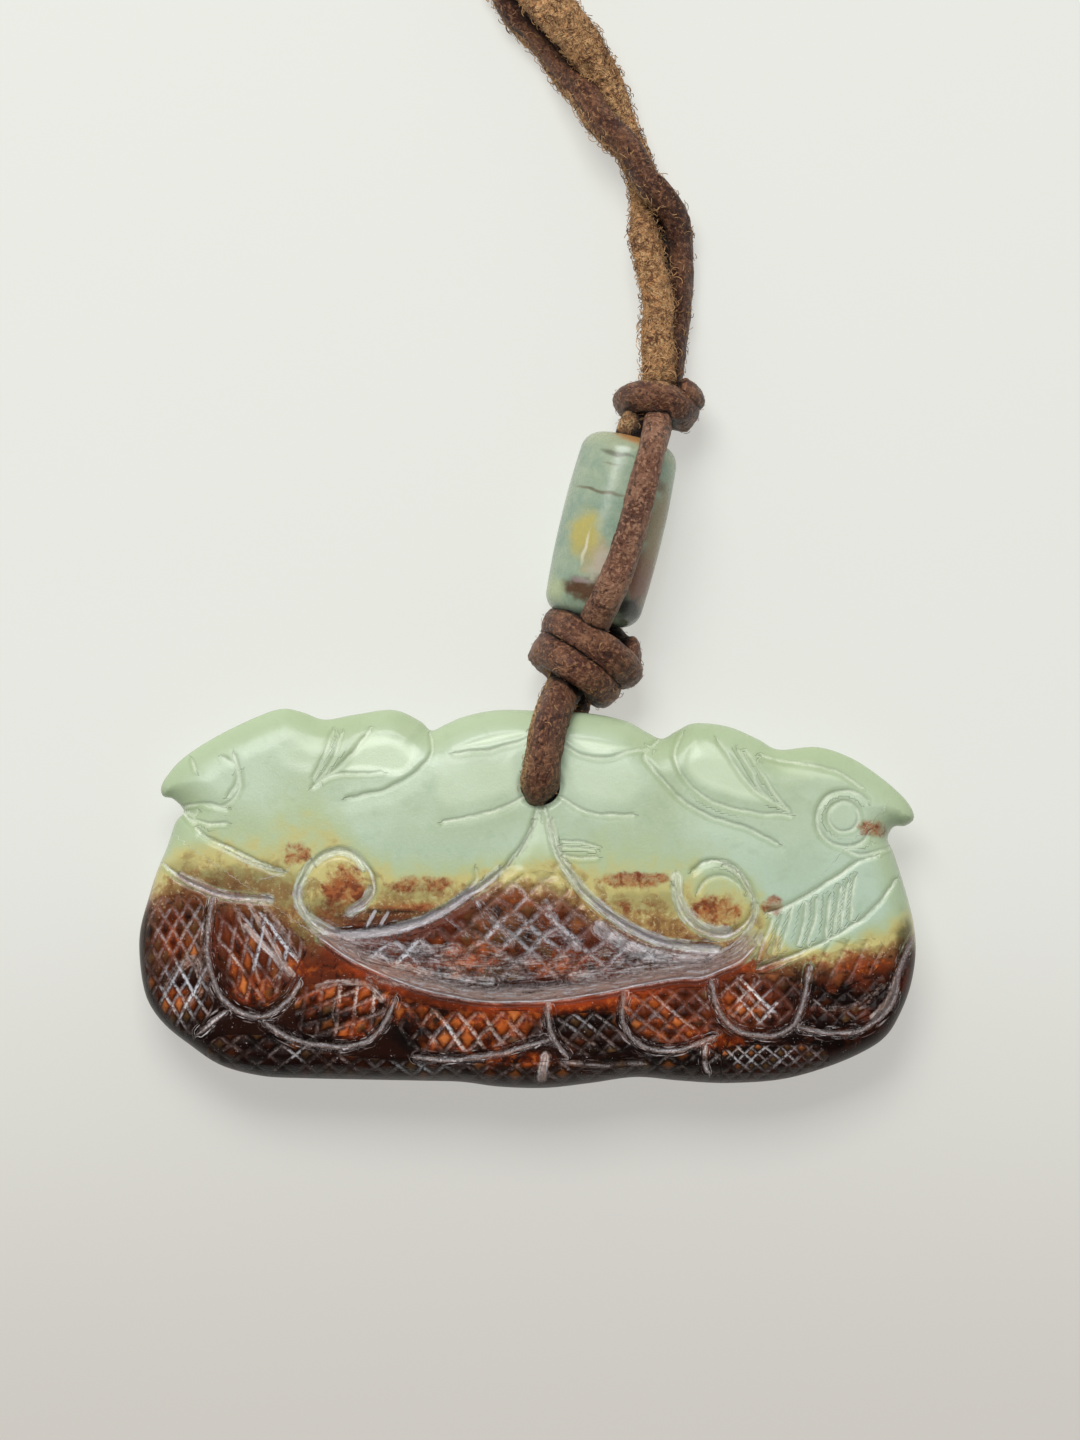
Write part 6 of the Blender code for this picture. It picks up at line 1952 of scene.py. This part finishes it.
def make_table():
    mesh = bpy.data.meshes.new("table")
    corners = [(x * FLOOR_HALF, y * FLOOR_HALF, 0.0) for x, y in ((-1, -1), (1, -1), (1, 1), (-1, 1))]
    mesh.from_pydata(corners, [], [(0, 1, 2, 3)])
    made, w, shader = new_material("pale table")
    soft = w.noise(w.place(), 6.0, 2.0, 0.5)
    # painted shade: the table is painted darker and given less glow towards the front
    nearer = w.ramp(w.part(w.place(), "Y"), 0.012, -0.05)
    pale = w.mix(soft, srgb(168, 174, 166), srgb(172, 177, 170))
    w.wire(shader, Base_Color=w.mix(nearer, pale, srgb(150, 147, 138)), Roughness=w.linear(soft, 0.1, 0.75),
           Emission_Color=TABLE_GLOW, Emission_Strength=w.linear(nearer, -0.06, 0.4))
    mesh.materials.append(made)
    return add_object("table", mesh)


def soft_light(name, place, target, width, height, power):
    light = bpy.data.lights.new(name, "AREA")
    light.shape = "RECTANGLE"
    light.size = width
    light.size_y = height
    light.energy = power
    made = add_object(name, light)
    made.location = place
    made.rotation_euler = (Vector(target) - Vector(place)).to_track_quat("-Z", "Y").to_euler()


def white_tent():
    """A world that is white behind and low down, and nearly dark in front and overhead."""
    world = bpy.data.worlds.new("photo tent")
    world.use_nodes = True
    tent = Wiring(world.node_tree)
    direction = tent.node("ShaderNodeTexCoord").outputs["Generated"]
    behind = tent.ramp(tent.part(direction, "Y"), -0.35, 0.75)
    low = tent.ramp(tent.part(direction, "Z"), 0.85, 0.45)
    glow = tent.linear(tent.times(behind, low), 0.85, 0.15)
    tent.wire(world.node_tree.nodes["Background"], Color=tent.mix(glow, BLACK, CLOTH_WHITE), Strength=0.62)
    return world


make_table()
bpy.context.scene.world = white_tent()
soft_light("key", place=(-0.08, 0.30, 0.44), target=(0.0, 0.01, 0.0), width=0.30, height=0.24, power=1.9)
bounce = add_object("bounce", bpy.data.lights.new("bounce", "SUN"))
bounce.data.energy = 0.75
bounce.data.color = (0.97, 1.0, 0.97)
bounce.data.use_shadow = False
bounce.visible_glossy = False
bpy.context.scene.view_settings.view_transform = "Standard"
print("one light, a tent and a pale table")
